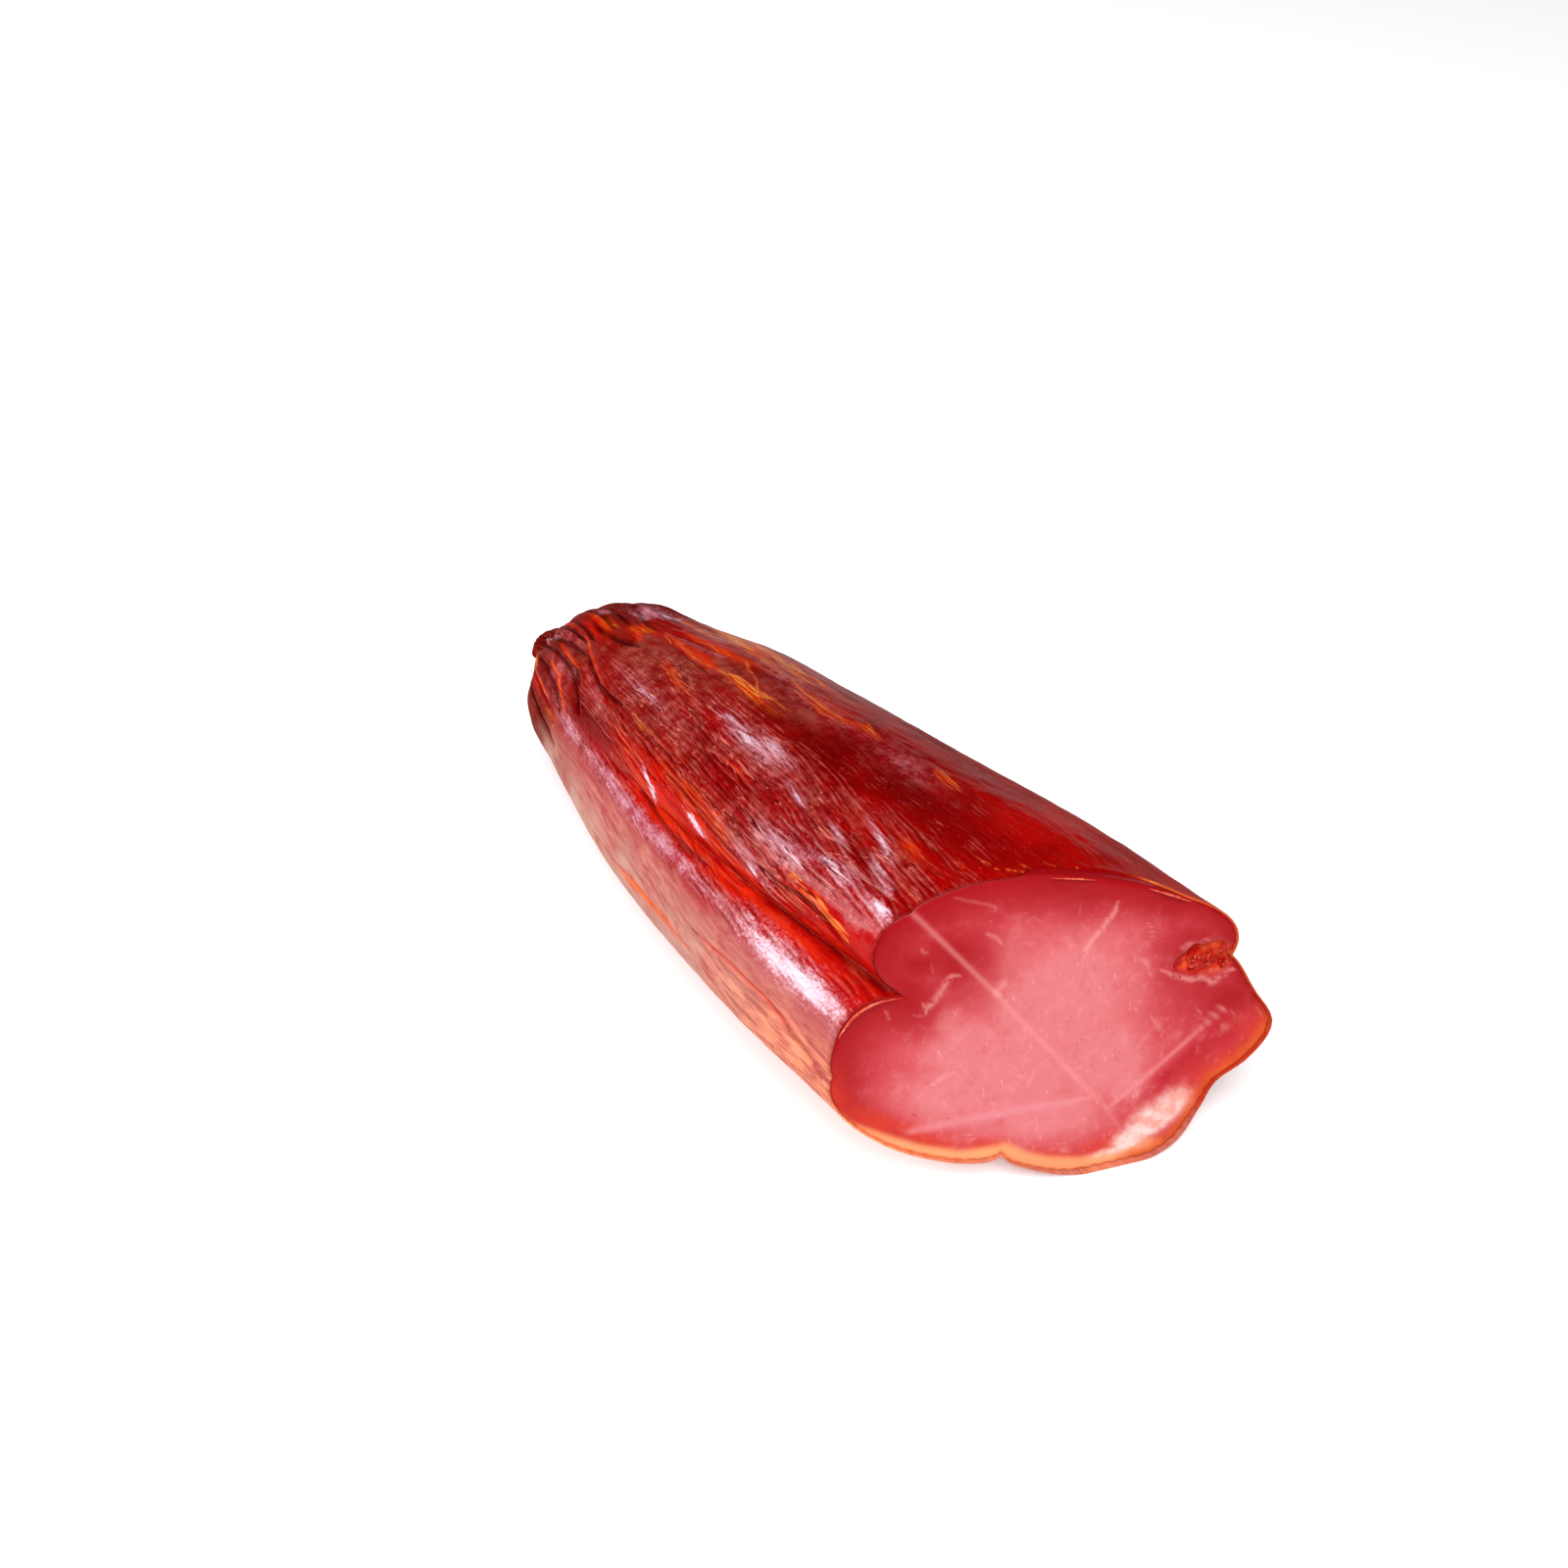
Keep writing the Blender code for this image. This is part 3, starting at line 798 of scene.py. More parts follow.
# Patches of the cut face by kind: sideways place and height, reach both ways, tilt
FACE_PATCHES = {
    "pink": (
        (-15, 33, 7, 6, 0), (3, 37, 19, 14, 25), (-10, 27, 18, 9.5, 12), (8, 24, 12, 9, 30),
        (-4, 14, 13, 6.5, 0), (12, 17, 5, 3, 30), (-20, 24, 12, 7, 0), (-8, 22, 14, 9, 20),
        (-16, 31, 10, 6, 0),
    ),
    "red": (
        (-14, 50, 8, 8, 0), (31, 39, 8, 12, -10), (-25, 55, 7, 8, 0), (-39, 37, 6, 9, 0),
        (15, 60, 17, 4.5, -12), (35, 30, 7, 5, 0), (-12, 61, 12, 4, 0), (27, 53, 9, 5, -35),
        (-33, 42, 8, 4, 30), (-21, 50, 7, 5, 0),
    ),
    "lower red": (
        (25, 20, 9, 4.5, 30), (33, 24, 6, 4, 20), (20, 17, 4, 3, 40),
    ),
    "orange": (
        (40, 20, 5, 5, 30), (31, 16.5, 8, 2.4, 25), (-36, 20, 8, 3, -38), (-28, 15, 9, 2.6, -30),
        (-5, 3.5, 9, 3, -10), (24, 11, 3, 3.4, 40), (8, 1, 10, 1.6, 0), (6, 4.5, 8, 2.6, 0),
        (-42, 28, 3, 8, 0), (-17, 11, 5, 2.4, -20),
    ),
    "fat": (
        (15, 7.6, 10, 3.4, 30), (20.5, 10.4, 4.4, 2.8, 20), (9.5, 4.6, 4.6, 2.8, 35),
        (5.5, 2.8, 5, 1.6, 0),
    ),
}
PEACH_SIDE = (1.2, ((-44, 24), (-41.5, 20.0), (-36, 16.0), (-29.6, 11.8), (-22.4, 8.6), (-16, 8.0)))
PEACH_LOW = (1.7, ((-14, 7.6), (-11, 5.0), (-7, 2.8), (0, 0.6), (8, -0.2), (14, 1.0)))
RED_RIM = (
    (0, 3.5), (30, 6), (60, 8.5), (90, 8), (120, 8), (150, 9), (180, 8), (205, 4), (225, 2), (250, 1.2),
    (290, 1.2), (320, 3), (340, 3), (360, 3.5),
)
DOTS = (
    (-26.0, 19.9), (-24.0, 19.4), (-22.6, 18.3), (-20.4, 18.6), (-19.2, 17.6), (-17.4, 17.7), (-34.9, 19.8),
    (-33.0, 20.6), (15.4, 2.4), (17.2, 3.4), (20.4, 5.2), (20.6, 6.8), (24.6, 8.4), (-28.4, 20.4),
    (-30.6, 21.4),
)
DOT_REACH = (0.3, 0.26)

# Relief of the cut face in millimetres: how far it lies back, its waves and grain, how far each kind of
# mark stands up, how deep the torn meat lies and how its edge rolls over
FACE_BACK = 0.30
WAVES = 0.20
GRAIN = 0.08
LINE_HEIGHT = 0.22
BAND_HEIGHT = 0.15
MARBLING_HEIGHT = 0.16
FLECK_HEIGHT = 0.08
TORN_BACK = 0.6
TORN_DEPTH = 1.5
TORN_LUMPS = 0.25
EDGE_ROLL = 0.35
ROLL_WIDTH = 1.1
LEAST_BACK = 0.06


def cloud(y, z, size, seed, octaves=3):
    """Soft random patches over the cut face, of about a size in millimetres."""
    return rough((y + 60) / size, (z + 10) / (size * NOISE_STEPS), NOISE_STEPS, seed, octaves)


def torn_mask(y, z):
    """1 where the meat is torn at the right notch."""
    centre = np.mean(TORN, axis=0)
    reach = np.array([np.hypot(*(np.array(p) - centre)) for p in TORN])
    angles = np.array([math.degrees(math.atan2(p[1] - centre[1], p[0] - centre[0])) for p in TORN])
    order = np.argsort(angles)
    around = np.degrees(np.arctan2(z - centre[1], y - centre[0]))
    edge = np.interp(around, angles[order], reach[order], period=360)
    return 1 - ease(-0.5, 0.6, np.hypot(y - centre[0], z - centre[1]) - edge)


def random_flecks(y, z, rim_distance):
    """Short pale flecks scattered over the face, mostly upright."""
    rng = np.random.default_rng(FLECK_SEED)
    found = np.zeros(y.shape)
    for _ in range(FLECKS):
        at = (rng.uniform(-38, 40), rng.uniform(3, 60))
        length = rng.uniform(0.5, 2.4)
        way = math.radians(rng.normal(100, 28))
        half = (length * math.cos(way) / 2, length * math.sin(way) / 2)
        width = rng.uniform(0.14, 0.2)
        strength = rng.uniform(0.15, 0.5)
        ends = ((at[0] - half[0], at[1] - half[1]), (at[0] + half[0], at[1] + half[1]))
        found = np.maximum(found, strength * line_mask((y, z), ends, width))
    return found * ease(2, 9, rim_distance)


def face_marks(y, z, rim_distance):
    """Pale lines and flecks of the face."""
    warp = 0.5 * (cloud(y, z, 1.6, 81) - 0.5)
    at = (y + warp, z + 0.5 * (cloud(y, z, 1.6, 91) - 0.5))
    pale = np.zeros(y.shape)
    for width, strength, points in MARBLING:
        pale = np.maximum(pale, strength * line_mask(at, points, width, 0.3))
    return pale, random_flecks(y, z, rim_distance)


def knife_marks(y, z):
    lines = np.zeros(y.shape)
    for width, strength, points in KNIFE_LINES.values():
        lines = np.maximum(lines, strength * line_mask((y, z), points, width, 0.05))
    width, strength, points = LOW_BAND
    return lines, strength * line_mask((y, z), points, width, 0.2)


def face_depth(y, z, rim_distance):
    """How far the face lies behind the knife's plane. Its marks stand up and its torn meat lies deep."""
    pale, flecks = face_marks(y, z, rim_distance)
    lines, band = knife_marks(y, z)
    depth = FACE_BACK + WAVES * (cloud(y, z, 9, 101) - 0.5) + GRAIN * (cloud(y, z, 1.3, 111) - 0.5)
    depth = depth - LINE_HEIGHT * lines - BAND_HEIGHT * band
    depth = depth - MARBLING_HEIGHT * pale - FLECK_HEIGHT * flecks
    torn = torn_mask(y, z)
    lumps = cloud(y, z, 2.2, 121, 2)
    depth = depth + torn * (TORN_BACK + TORN_DEPTH * (1 - lumps)) - TORN_LUMPS * torn * lumps
    roll = EDGE_ROLL * (1 - ease(0, ROLL_WIDTH, rim_distance)) ** 2
    return np.maximum(depth, LEAST_BACK) + roll


def meat_points(angles):
    """Grid of points of the meat, from behind the cut over its edge to the middle of the face."""
    x = edge_reach(angles, MEAT_INSET)
    rim = np.stack([x, *section(angles, x, MEAT_INSET, MEAT_INSET)], -1)
    shares = 1 - np.linspace(0, 1, FACE_ROWS) ** FACE_CROWDING
    y = FACE_CENTRE[0] + shares[:, None] * (rim[:, 1] - FACE_CENTRE[0])
    z = FACE_CENTRE[1] + shares[:, None] * (rim[:, 2] - FACE_CENTRE[1])
    rim_distance = np.min([np.hypot(y - at_y, z - at_z) for _, at_y, at_z in rim[::2]], axis=0)
    face_x = CUT_REACH + knife_plane(y, z) - stroke_fall(y, z) - face_depth(y, z, rim_distance)
    face = np.stack([face_x, y, z], -1)
    rows = []
    for back in MEAT_STEPS:
        y, z = section(angles, x - back, MEAT_INSET, MEAT_INSET)
        rows.append(np.stack([face[0][:, 0] + MEAT_LEAD - back, y, z], -1))
    rows = closing_rows(rows[0], rows[0].mean(0), CLOSING_SHARES[::-1]) + rows
    hidden = len(rows)
    grid = np.concatenate([np.stack(rows), face])
    distance = np.concatenate([np.zeros((hidden, len(angles))), rim_distance])
    return grid, distance, hidden


def meat_masks(grid, distance, hidden):
    y = grid[..., 1]
    z = grid[..., 2]
    around = np.mod(np.degrees(np.arctan2(z - FACE_CENTRE[1], y - FACE_CENTRE[0])), 360)
    width = curve(RED_RIM, around)
    uneven = cloud(y, z, 6, 131) - 0.5
    at = (y + 2.5 * uneven, z + 2.5 * (cloud(y, z, 7, 141) - 0.5))
    rim = 1 - ease(0.1 * width, 1.5 * width, distance + 1.5 * uneven)
    patch = {kind: ovals(at, places) for kind, places in FACE_PATCHES.items()}
    red = np.maximum(rim, patch["red"])
    pink = np.clip(1.3 * patch["pink"], 0, 1) * (1 - 0.7 * red)
    at_y, at_z, way, _ = LOWER_STROKE
    way = math.radians(way)
    below = (y - at_y) * math.cos(way) + (z - at_z) * math.sin(way)
    lower_red = ease(-0.5, 2.5, below) * patch["lower red"]
    side_width, side_points = PEACH_SIDE
    low_width, low_points = PEACH_LOW
    plain = (y, z)
    peach = np.maximum(
        1 - ease(side_width, 2.6 * side_width, line_distance(plain, side_points)[0]),
        0.9 * (1 - ease(low_width, 2.2 * low_width, line_distance(plain, low_points)[0])),
    )
    pale, flecks = face_marks(y, z, distance)
    lines, band = knife_marks(y, z)
    right_rim = between(285, 350, 6, around) * (1 - ease(0.8, 3.2, distance))
    outer = 1 - ease(0.1, 0.8, distance)
    dots = ovals(plain, [(*place, *DOT_REACH, 0) for place in DOTS])
    shown = np.arange(grid.shape[0])[:, None] >= hidden
    marks = np.maximum(pale, flecks)
    return {
        "tone": np.stack([pink, red, lower_red, patch["orange"]], -1),
        "marks": np.stack([marks * shown, patch["fat"], torn_mask(y, z), peach], -1),
        "edges": np.stack([lines * shown, band * shown, right_rim, outer], -1),
        "spots": np.stack([dots] * 4, -1),
    }


def colour(red, green, blue):
    """A colour as its screen values from 0 to 255."""
    def linear(value):
        value = value / 255
        return value / 12.92 if value <= 0.04045 else ((value + 0.055) / 1.055) ** 2.4
    return (linear(red), linear(green), linear(blue), 1.0)


class Amount:
    """A number or colour that changes over a surface: the output of a node."""

    def __init__(self, finish, socket):
        self.finish = finish
        self.socket = socket

    def __add__(self, other):
        return self.finish.maths("ADD", self, other)

    __radd__ = __add__

    def __mul__(self, other):
        return self.finish.maths("MULTIPLY", self, other)

    __rmul__ = __mul__

    def __sub__(self, other):
        return self.finish.maths("SUBTRACT", self, other)

    def __rsub__(self, other):
        return self.finish.maths("SUBTRACT", other, self)

    def __abs__(self):
        return self.finish.maths("ABSOLUTE", self, 0.0)


class Finish:
    """A material in the making."""

    def __init__(self, name, **constants):
        self.material = bpy.data.materials.new(name)
        self.material.use_nodes = True
        self.material.cycles.emission_sampling = "NONE"
        self.tree = self.material.node_tree
        self.shader = self.tree.nodes["Principled BSDF"]
        for words, value in constants.items():
            self.shader.inputs[words.replace("_", " ")].default_value = value

    def put(self, socket, value):
        if isinstance(value, Amount):
            self.tree.links.new(value.socket, socket)
        else:
            socket.default_value = value

    def add(self, kind, settings=None, values=None, output=0):
        """Adds a node: its settings first, then the values or links of its sockets."""
        node = self.tree.nodes.new(kind)
        for setting, value in (settings or {}).items():
            setattr(node, setting, value)
        for socket, value in (values or {}).items():
            self.put(node.inputs[socket], value)
        return Amount(self, node.outputs[output])

    def maths(self, operation, first, second):
        return self.add("ShaderNodeMath", {"operation": operation}, {0: first, 1: second})

    def step(self, amount, start, end):
        """0 below start and 1 past end, smooth between."""
        values = {"Value": amount, "From Min": start, "From Max": end}
        return self.add("ShaderNodeMapRange", {"interpolation_type": "SMOOTHSTEP"}, values)

    def mix(self, factor, first, second):
        """From one colour to another, either of them an amount or screen values from 0 to 255."""
        first, second = (tint if isinstance(tint, Amount) else colour(*tint) for tint in (first, second))
        return self.add("ShaderNodeMix", {"data_type": "RGBA"}, {0: factor, 6: first, 7: second}, 2)

    def shades(self, amount, start, end, dark, light):
        """A colour that turns from dark to light while an amount goes from start to end."""
        return self.mix(self.step(amount, start, end), dark, light)

    def fold(self, wander, thinness):
        """Raised lines where a noise crosses its middle, 1 on a line and falling to 0 beside it."""
        return self.step(1 - abs(2 * wander - 1), thinness, 1.0)

    def noise(self, places, scale, detail, roughness, distortion=0.0):
        values = {"Vector": places, "Scale": scale, "Detail": detail, "Roughness": roughness}
        return self.add("ShaderNodeTexNoise", None, {**values, "Distortion": distortion})

    def cracks(self, places, along, across, width):
        """A net of thin lines, 1 on a line, round cells of so many to a unit each way."""
        wander = self.add("ShaderNodeTexNoise", None, {"Vector": places, "Scale": 60.0, "Detail": 2.0}, 1)
        values = {0: wander, 1: (0.8, 0.8, 0.0), 2: self.stretched(places, along, across)}
        bent = self.add("ShaderNodeVectorMath", {"operation": "MULTIPLY_ADD"}, values)
        values = {"Vector": bent, "Scale": 1.0}
        edges = self.add("ShaderNodeTexVoronoi", {"feature": "DISTANCE_TO_EDGE"}, values)
        return 1 - self.step(edges, 0.0, width)

    def masks(self, name):
        """The four masks kept in one attribute of the piece."""
        whole = self.add("ShaderNodeAttribute", {"attribute_name": name})
        last = Amount(self, whole.socket.node.outputs[3])
        parts = [self.add("ShaderNodeSeparateColor", None, {0: whole}, i) for i in range(3)]
        return (*parts, last)

    def stretched(self, places, x, y, z=1.0):
        return self.add("ShaderNodeMapping", None, {"Vector": places, "Scale": (x, y, z)})

    def set(self, **values):
        for words, value in values.items():
            self.put(self.shader.inputs[words.replace("_", " ")], value)


def casing_finish():
    finish = Finish("Cured casing", IOR=1.4, Coat_Roughness=0.12, Specular_IOR_Level=0.0)
    skin = finish.add("ShaderNodeUVMap", {"uv_map": "skin"})
    places = finish.add("ShaderNodeTexCoord", None, None, 3)
    glow, brown, mauve, flank = finish.masks("tones")
    sheen, seam, yellow, dark = finish.masks("sheens")
    crest, valley, crease, edge = finish.masks("lines")
    far_side, peach, greyed, bright = finish.masks("sides")
    spotted, ripples, orange_lip_and_glow, golden = finish.masks("spots")
    tail, wrinkled, amber, glint = finish.masks("ends")

    blotches = finish.noise(places, 70, 2, 0.6)
    mottle = finish.noise(places, 300, 2, 0.65)
    grain = finish.noise(finish.stretched(skin, 14, 80), 1.0, 3, 0.65, 0.4)
    threads = finish.noise(finish.stretched(skin, 16, 170), 1.0, 2, 0.6, 0.3)
    wander = finish.noise(finish.stretched(skin, 8, 72), 1.0, 1.2, 0.5, 0.2)
    # Fine folds: crest lines and the hollows beside them, giving bumps, painted highlights and painted shade
    fine_fold = finish.fold(wander, 0.945)
    hollow = finish.fold(wander + 0.04, 0.94)
    crinkle = finish.cracks(skin, 24, 95, 0.14)
    bands = finish.noise(finish.stretched(skin, 8, 44), 1.0, 2, 0.6, 0.7)
    speckle = finish.noise(places, 1500, 1, 0.6)

    along = finish.add("ShaderNodeSeparateXYZ", None, {0: skin}, 0)
    red = finish.shades(blotches, 0.35, 0.65, (118, 2, 3), (152, 7, 5))
    nearer = finish.shades(blotches, 0.35, 0.65, (148, 4, 4), (174, 12, 8))
    red = finish.mix(finish.step(along, 1.05, 1.5), red, nearer)
    red = finish.mix(finish.step(bands + 0.3 * (mottle - 0.5), 0.45, 0.7) * 0.4, red, (150, 34, 28))
    red = finish.mix(finish.step(mottle, 0.45, 0.75) * 0.3, red, (170, 20, 8))
    red = finish.mix(dark * 0.75, red, (98, 1, 2))
    red = finish.mix(finish.step(speckle, 0.55, 0.8) * 0.25, red, (196, 40, 20))
    banded = finish.shades(mottle, 0.35, 0.65, (138, 24, 22), (166, 70, 64))
    red = finish.mix(wrinkled * finish.step(bands, 0.42, 0.68) * 0.75, red, banded)
    browned = finish.shades(mottle, 0.3, 0.7, (118, 42, 34), (160, 88, 74))
    red = finish.mix(brown * finish.step(blotches + 0.3 * mottle, 0.25, 0.85), red, browned)
    gathered = finish.mix(mottle, (82, 8, 5), (118, 38, 24))
    red = finish.mix(tail * finish.step(blotches + 0.4 * grain, 0.25, 0.75) * 0.85, red, gathered)
    # Greyish mauve: partly the casing's own tone, partly the fainter edge of the painted sheens
    greyish = finish.shades(mottle + 0.5 * (speckle - 0.5), 0.35, 0.68, (140, 36, 44), (182, 100, 104))
    red = finish.mix(mauve * finish.step(grain + 0.4 * mottle, 0.2, 0.9) * 0.9, red, greyish)
    glowing = finish.shades(grain, 0.36, 0.72, (166, 8, 5), (204, 40, 14))
    red = finish.mix(glow * (0.45 + 0.55 * finish.step(bands + 0.4 * grain, 0.5, 0.85)), red, glowing)
    red = finish.mix(bright * finish.step(grain + bright, 0.5, 1.4) * 0.7, red, (198, 50, 12))
    golden = golden * finish.step(threads + 0.4 * golden, 0.4, 0.8)
    red = finish.mix(golden, red, finish.shades(threads, 0.45, 0.62, (188, 46, 8), (226, 132, 44)))
    honey = finish.shades(threads, 0.35, 0.65, (150, 44, 8), (206, 116, 30))
    red = finish.mix(amber * finish.step(grain + amber, 0.4, 1.1), red, honey)
    pale = finish.shades(grain, 0.3, 0.72, (162, 84, 80), (192, 128, 118))
    pale = finish.mix(finish.step(blotches + 0.3 * grain, 0.5, 0.9) * 0.7, pale, (160, 84, 84))
    red = finish.mix(flank * 0.95, red, pale)
    purple = finish.mix(speckle, (128, 16, 50), (176, 64, 92))
    red = finish.mix(spotted * finish.step(mottle + 0.5 * (speckle - 0.5), 0.5, 0.66) * 0.8, red, purple)
    red = finish.mix(flank * finish.step(threads, 0.58, 0.75) * 0.45, red, (190, 76, 60))
    red = finish.mix(peach * finish.step(grain, 0.3, 0.7) * 0.85, red, (234, 152, 116))
    red = finish.mix(greyed * finish.step(blotches + 0.4 * grain, 0.4, 0.9) * 0.85, red, (184, 156, 142))
    # Paler brown-red streaks on the far side: partly the casing's own tone, partly a painted reflection of
    # grazing light
    far = finish.shades(mottle, 0.35, 0.65, (132, 34, 26), (170, 84, 68))
    red = finish.mix(far_side * finish.step(bands + 0.4 * grain, 0.5, 0.9) * 0.4, red, far)
    fat = finish.shades(yellow + 1.2 * (threads - 0.5), 0.3, 1.1, (204, 54, 10), (230, 146, 72))
    red = finish.mix(seam * finish.step(threads + 0.5 * seam, 0.45, 0.9), red, fat)
    # Painted sheen: lavender reflected light, broken up by the threads, the folds and the crinkle net
    broken = 0.8 * (threads - 0.5) + 0.7 * (speckle - 0.5) + 0.2 * crest - 0.4 * valley - 0.2 * crinkle
    painted_sheen = finish.shades(mottle + 0.4 * speckle, 0.5, 0.95, (164, 78, 88), (200, 150, 162))
    red = finish.mix(finish.step(1.1 * sheen + broken, 0.05, 1.1) * 0.85, red, painted_sheen)
    # Painted highlights: white cores of reflected light in the sheens
    red = finish.mix(finish.step(1.1 * glint + broken, 0.15, 1.1) * 0.9, red, (226, 200, 214))
    # Painted shade in the valleys beside the fold crests, weaker on the flank and in the sheens
    shaded = (1 - 0.8 * flank) * (1 - 0.4 * sheen)
    red = finish.mix(valley * shaded * 0.8, red, (74, 1, 5))
    # Painted shade in the thin grooves of the crinkle net, in the wrinkled places
    crinkled = crinkle * shaded * finish.step(mottle + 0.4 * wrinkled, 0.45, 0.85)
    red = finish.mix(crinkled * 0.5, red, (84, 3, 8))
    # Painted highlights on the fold crests: pink, lavender in the sheens, orange in the glow patches
    lit = finish.shades(mottle, 0.35, 0.7, (172, 50, 40), (206, 112, 104))
    lit = finish.mix(sheen, lit, (216, 176, 190))
    red = finish.mix(crest * (1 - 0.6 * glow) * (1 - 0.5 * tail) * 0.6, red, lit)
    red = finish.mix(crest * glow * 0.5, red, (228, 104, 58))
    # Painted shade in the creases, except on the flank, where they are drawn as an orange line
    red = finish.mix(crease * 0.8, red, finish.mix(flank, (66, 1, 5), (196, 46, 8)))
    creased = (0.12 + wrinkled) * (1 - 0.8 * flank) * finish.step(bands + 0.4 * mottle, 0.6, 0.8)
    # Painted shade in the hollows and painted highlights on the crests of the fine folds, in the wrinkled
    # bands
    red = finish.mix(hollow * creased * 0.7, red, (72, 2, 6))
    red = finish.mix(fine_fold * creased * 0.65, red, finish.mix(sheen, (206, 108, 92), (230, 196, 204)))
    # The lip at the cut: red in the red span, elsewhere light orange, partly its own colour and partly
    # painted light lifting it out of its shade
    red = finish.mix(edge * 0.8, red, finish.mix(orange_lip_and_glow, (126, 14, 8), (240, 138, 78)))

    folded = finish.step(ripples, 0.1, 0.8)
    bumps = (0.08 + folded) * (0.3 * threads - 0.4 * crinkle + 0.3 * grain) + 0.1 * mottle + 0.1 * grain
    bumps = bumps + creased * (0.4 * fine_fold - 0.5 * hollow)
    bump = finish.add("ShaderNodeBump", None, {"Strength": 0.4, "Distance": 0.0003, "Height": bumps})
    finish.set(
        Base_Color=red,
        Roughness=0.22 + 0.12 * mottle + 0.2 * flank,
        Coat_Weight=0.2 * (1 - 0.8 * flank) * (1 - 0.6 * tail) * (1 - 0.5 * far_side),
        # Painted glow: the orange lip glows, standing in for light through the thin casing and lifting it
        # out of its shade
        Emission_Color=finish.mix(edge * orange_lip_and_glow, (0, 0, 0), (206, 126, 76)),
        Emission_Strength=1.0,
        Normal=bump,
    )
    return finish.material


def meat_finish():
    finish = Finish(
        "Moist cured meat",
        IOR=1.42,
        Specular_IOR_Level=0.3,
        Coat_Weight=0.08,
        Coat_Roughness=0.2,
    )
    places = finish.add("ShaderNodeTexCoord", None, None, 3)
    pink, deep, lower_red, orange = finish.masks("tone")
    marks, fat, torn, peach = finish.masks("marks")
    lines, band, right_rim, outer = finish.masks("edges")
    dots, *_ = finish.masks("spots")

    clouds = finish.noise(places, 90, 3, 0.6)
    fibres = finish.noise(places, 420, 2, 0.6)
    grain = finish.noise(places, 900, 2, 0.5)
    lumps = finish.noise(places, 330, 2, 0.6)
    chart = finish.add("ShaderNodeUVMap", {"uv_map": "skin"})
    upright = finish.noise(finish.stretched(chart, 130, 44), 1.0, 2, 0.5, 0.4)

    meat = finish.mix(pink + 0.5 * (clouds - 0.5), (194, 58, 66), (212, 120, 124))
    meat = finish.mix(deep * 0.95, meat, finish.mix(clouds, (148, 2, 12), (172, 15, 27)))
    meat = finish.mix(lower_red * 0.9, meat, (176, 18, 32))
    meat = finish.mix(orange * 0.8, meat, (206, 58, 36))
    meat = finish.mix(finish.step(fibres, 0.5, 0.75) * (1 - deep) * 0.13, meat, (240, 170, 172))
    meat = finish.mix((1 - finish.step(fibres, 0.28, 0.45)) * 0.14, meat, (168, 14, 34))
    streaks = finish.step(upright, 0.66, 0.74) * (0.3 + pink) * (1 - deep)
    meat = finish.mix(streaks * 0.4, meat, (236, 168, 166))
    meat = finish.mix(band * 0.6, meat, (220, 140, 148))
    meat = finish.mix(lines * 0.5, meat, (226, 144, 142))
    meat = finish.mix(marks * finish.step(grain, 0.25, 0.5) * 0.5, meat, (232, 160, 156))
    softened = finish.step(fat + 0.4 * (clouds - 0.5), 0.12, 0.85)
    meat = finish.mix(softened, meat, finish.shades(fibres, 0.35, 0.65, (226, 158, 146), (238, 200, 194)))
    meat = finish.mix(peach, meat, finish.mix(outer, (238, 158, 110), (242, 140, 86)))
    meat = finish.mix(right_rim * 0.85, meat, finish.mix(clouds, (196, 56, 14), (222, 112, 46)))
    ragged = finish.shades(lumps, 0.35, 0.65, (176, 18, 10), (220, 88, 52))
    meat = finish.mix(torn, meat, ragged)
    meat = finish.mix(outer * (1 - peach) * (1 - right_rim) * 0.4, meat, (140, 4, 14))
    meat = finish.mix(finish.step(dots, 0.3, 0.9) * 0.6, meat, (140, 6, 14))

    bumps = fibres * 0.6 + grain * 0.2 + lumps * 0.3
    bump = finish.add("ShaderNodeBump", None, {"Strength": 0.3, "Distance": 0.0002, "Height": bumps})
    finish.set(
        Base_Color=meat,
        Roughness=0.36 + 0.14 * fibres,
        Normal=bump,
    )
    return finish.material


def torn_finish(name, dark, light):
    finish = Finish(name, Specular_IOR_Level=0.2, Coat_Weight=0.1, Coat_Roughness=0.15, Roughness=0.35)
    places = finish.add("ShaderNodeTexCoord", None, None, 3)
    patchy = finish.noise(places, 900, 3, 0.6)
    finish.set(Base_Color=finish.shades(patchy, 0.4, 0.75, dark, light))
    return finish.material


def make_casing():
    angles = spread_angles(CASING_COLUMNS)
    grid, layers = casing_points(angles)
    flowing = layers["angle"] - FOLD_SKEW * layers["x"] * ease(60, 120, layers["x"])
    chart = np.stack([layers["x"], flowing * MM_A_DEGREE], -1) / CHART_MM
    make_sheet("casing", stand_in_place(grid), chart, casing_masks(layers), casing_finish())


def make_meat():
    angles = spread_angles(MEAT_COLUMNS)
    grid, distance, hidden = meat_points(angles)
    chart = grid[..., 1:] / CHART_MM
    masks = meat_masks(grid, distance, hidden)
    make_sheet("cut_meat", stand_in_place(grid), chart, masks, meat_finish())


# Torn strips along the edge of the cut: name, from and to an angle, inward, forward and thickness in
# millimetres
STRIPS = (
    ("notch_fringe", 148.5, 165, 0.1, 0.45, 0.5),
    ("edge_curl", 35, 48, 0.75, 0.15, 0.24),
    ("edge_shred", 64, 79, 0.75, 0.0, 0.18),
)
STRIP_ROWS = 60
STRIP_COLUMNS = 13
CRUMBS = 26
CRUMB_SEED = 3
CRUMB_SIDE = (27.5, 37.0)
CRUMB_HEIGHT = 38.6
CRUMB_SIZE = (0.3, 0.8)


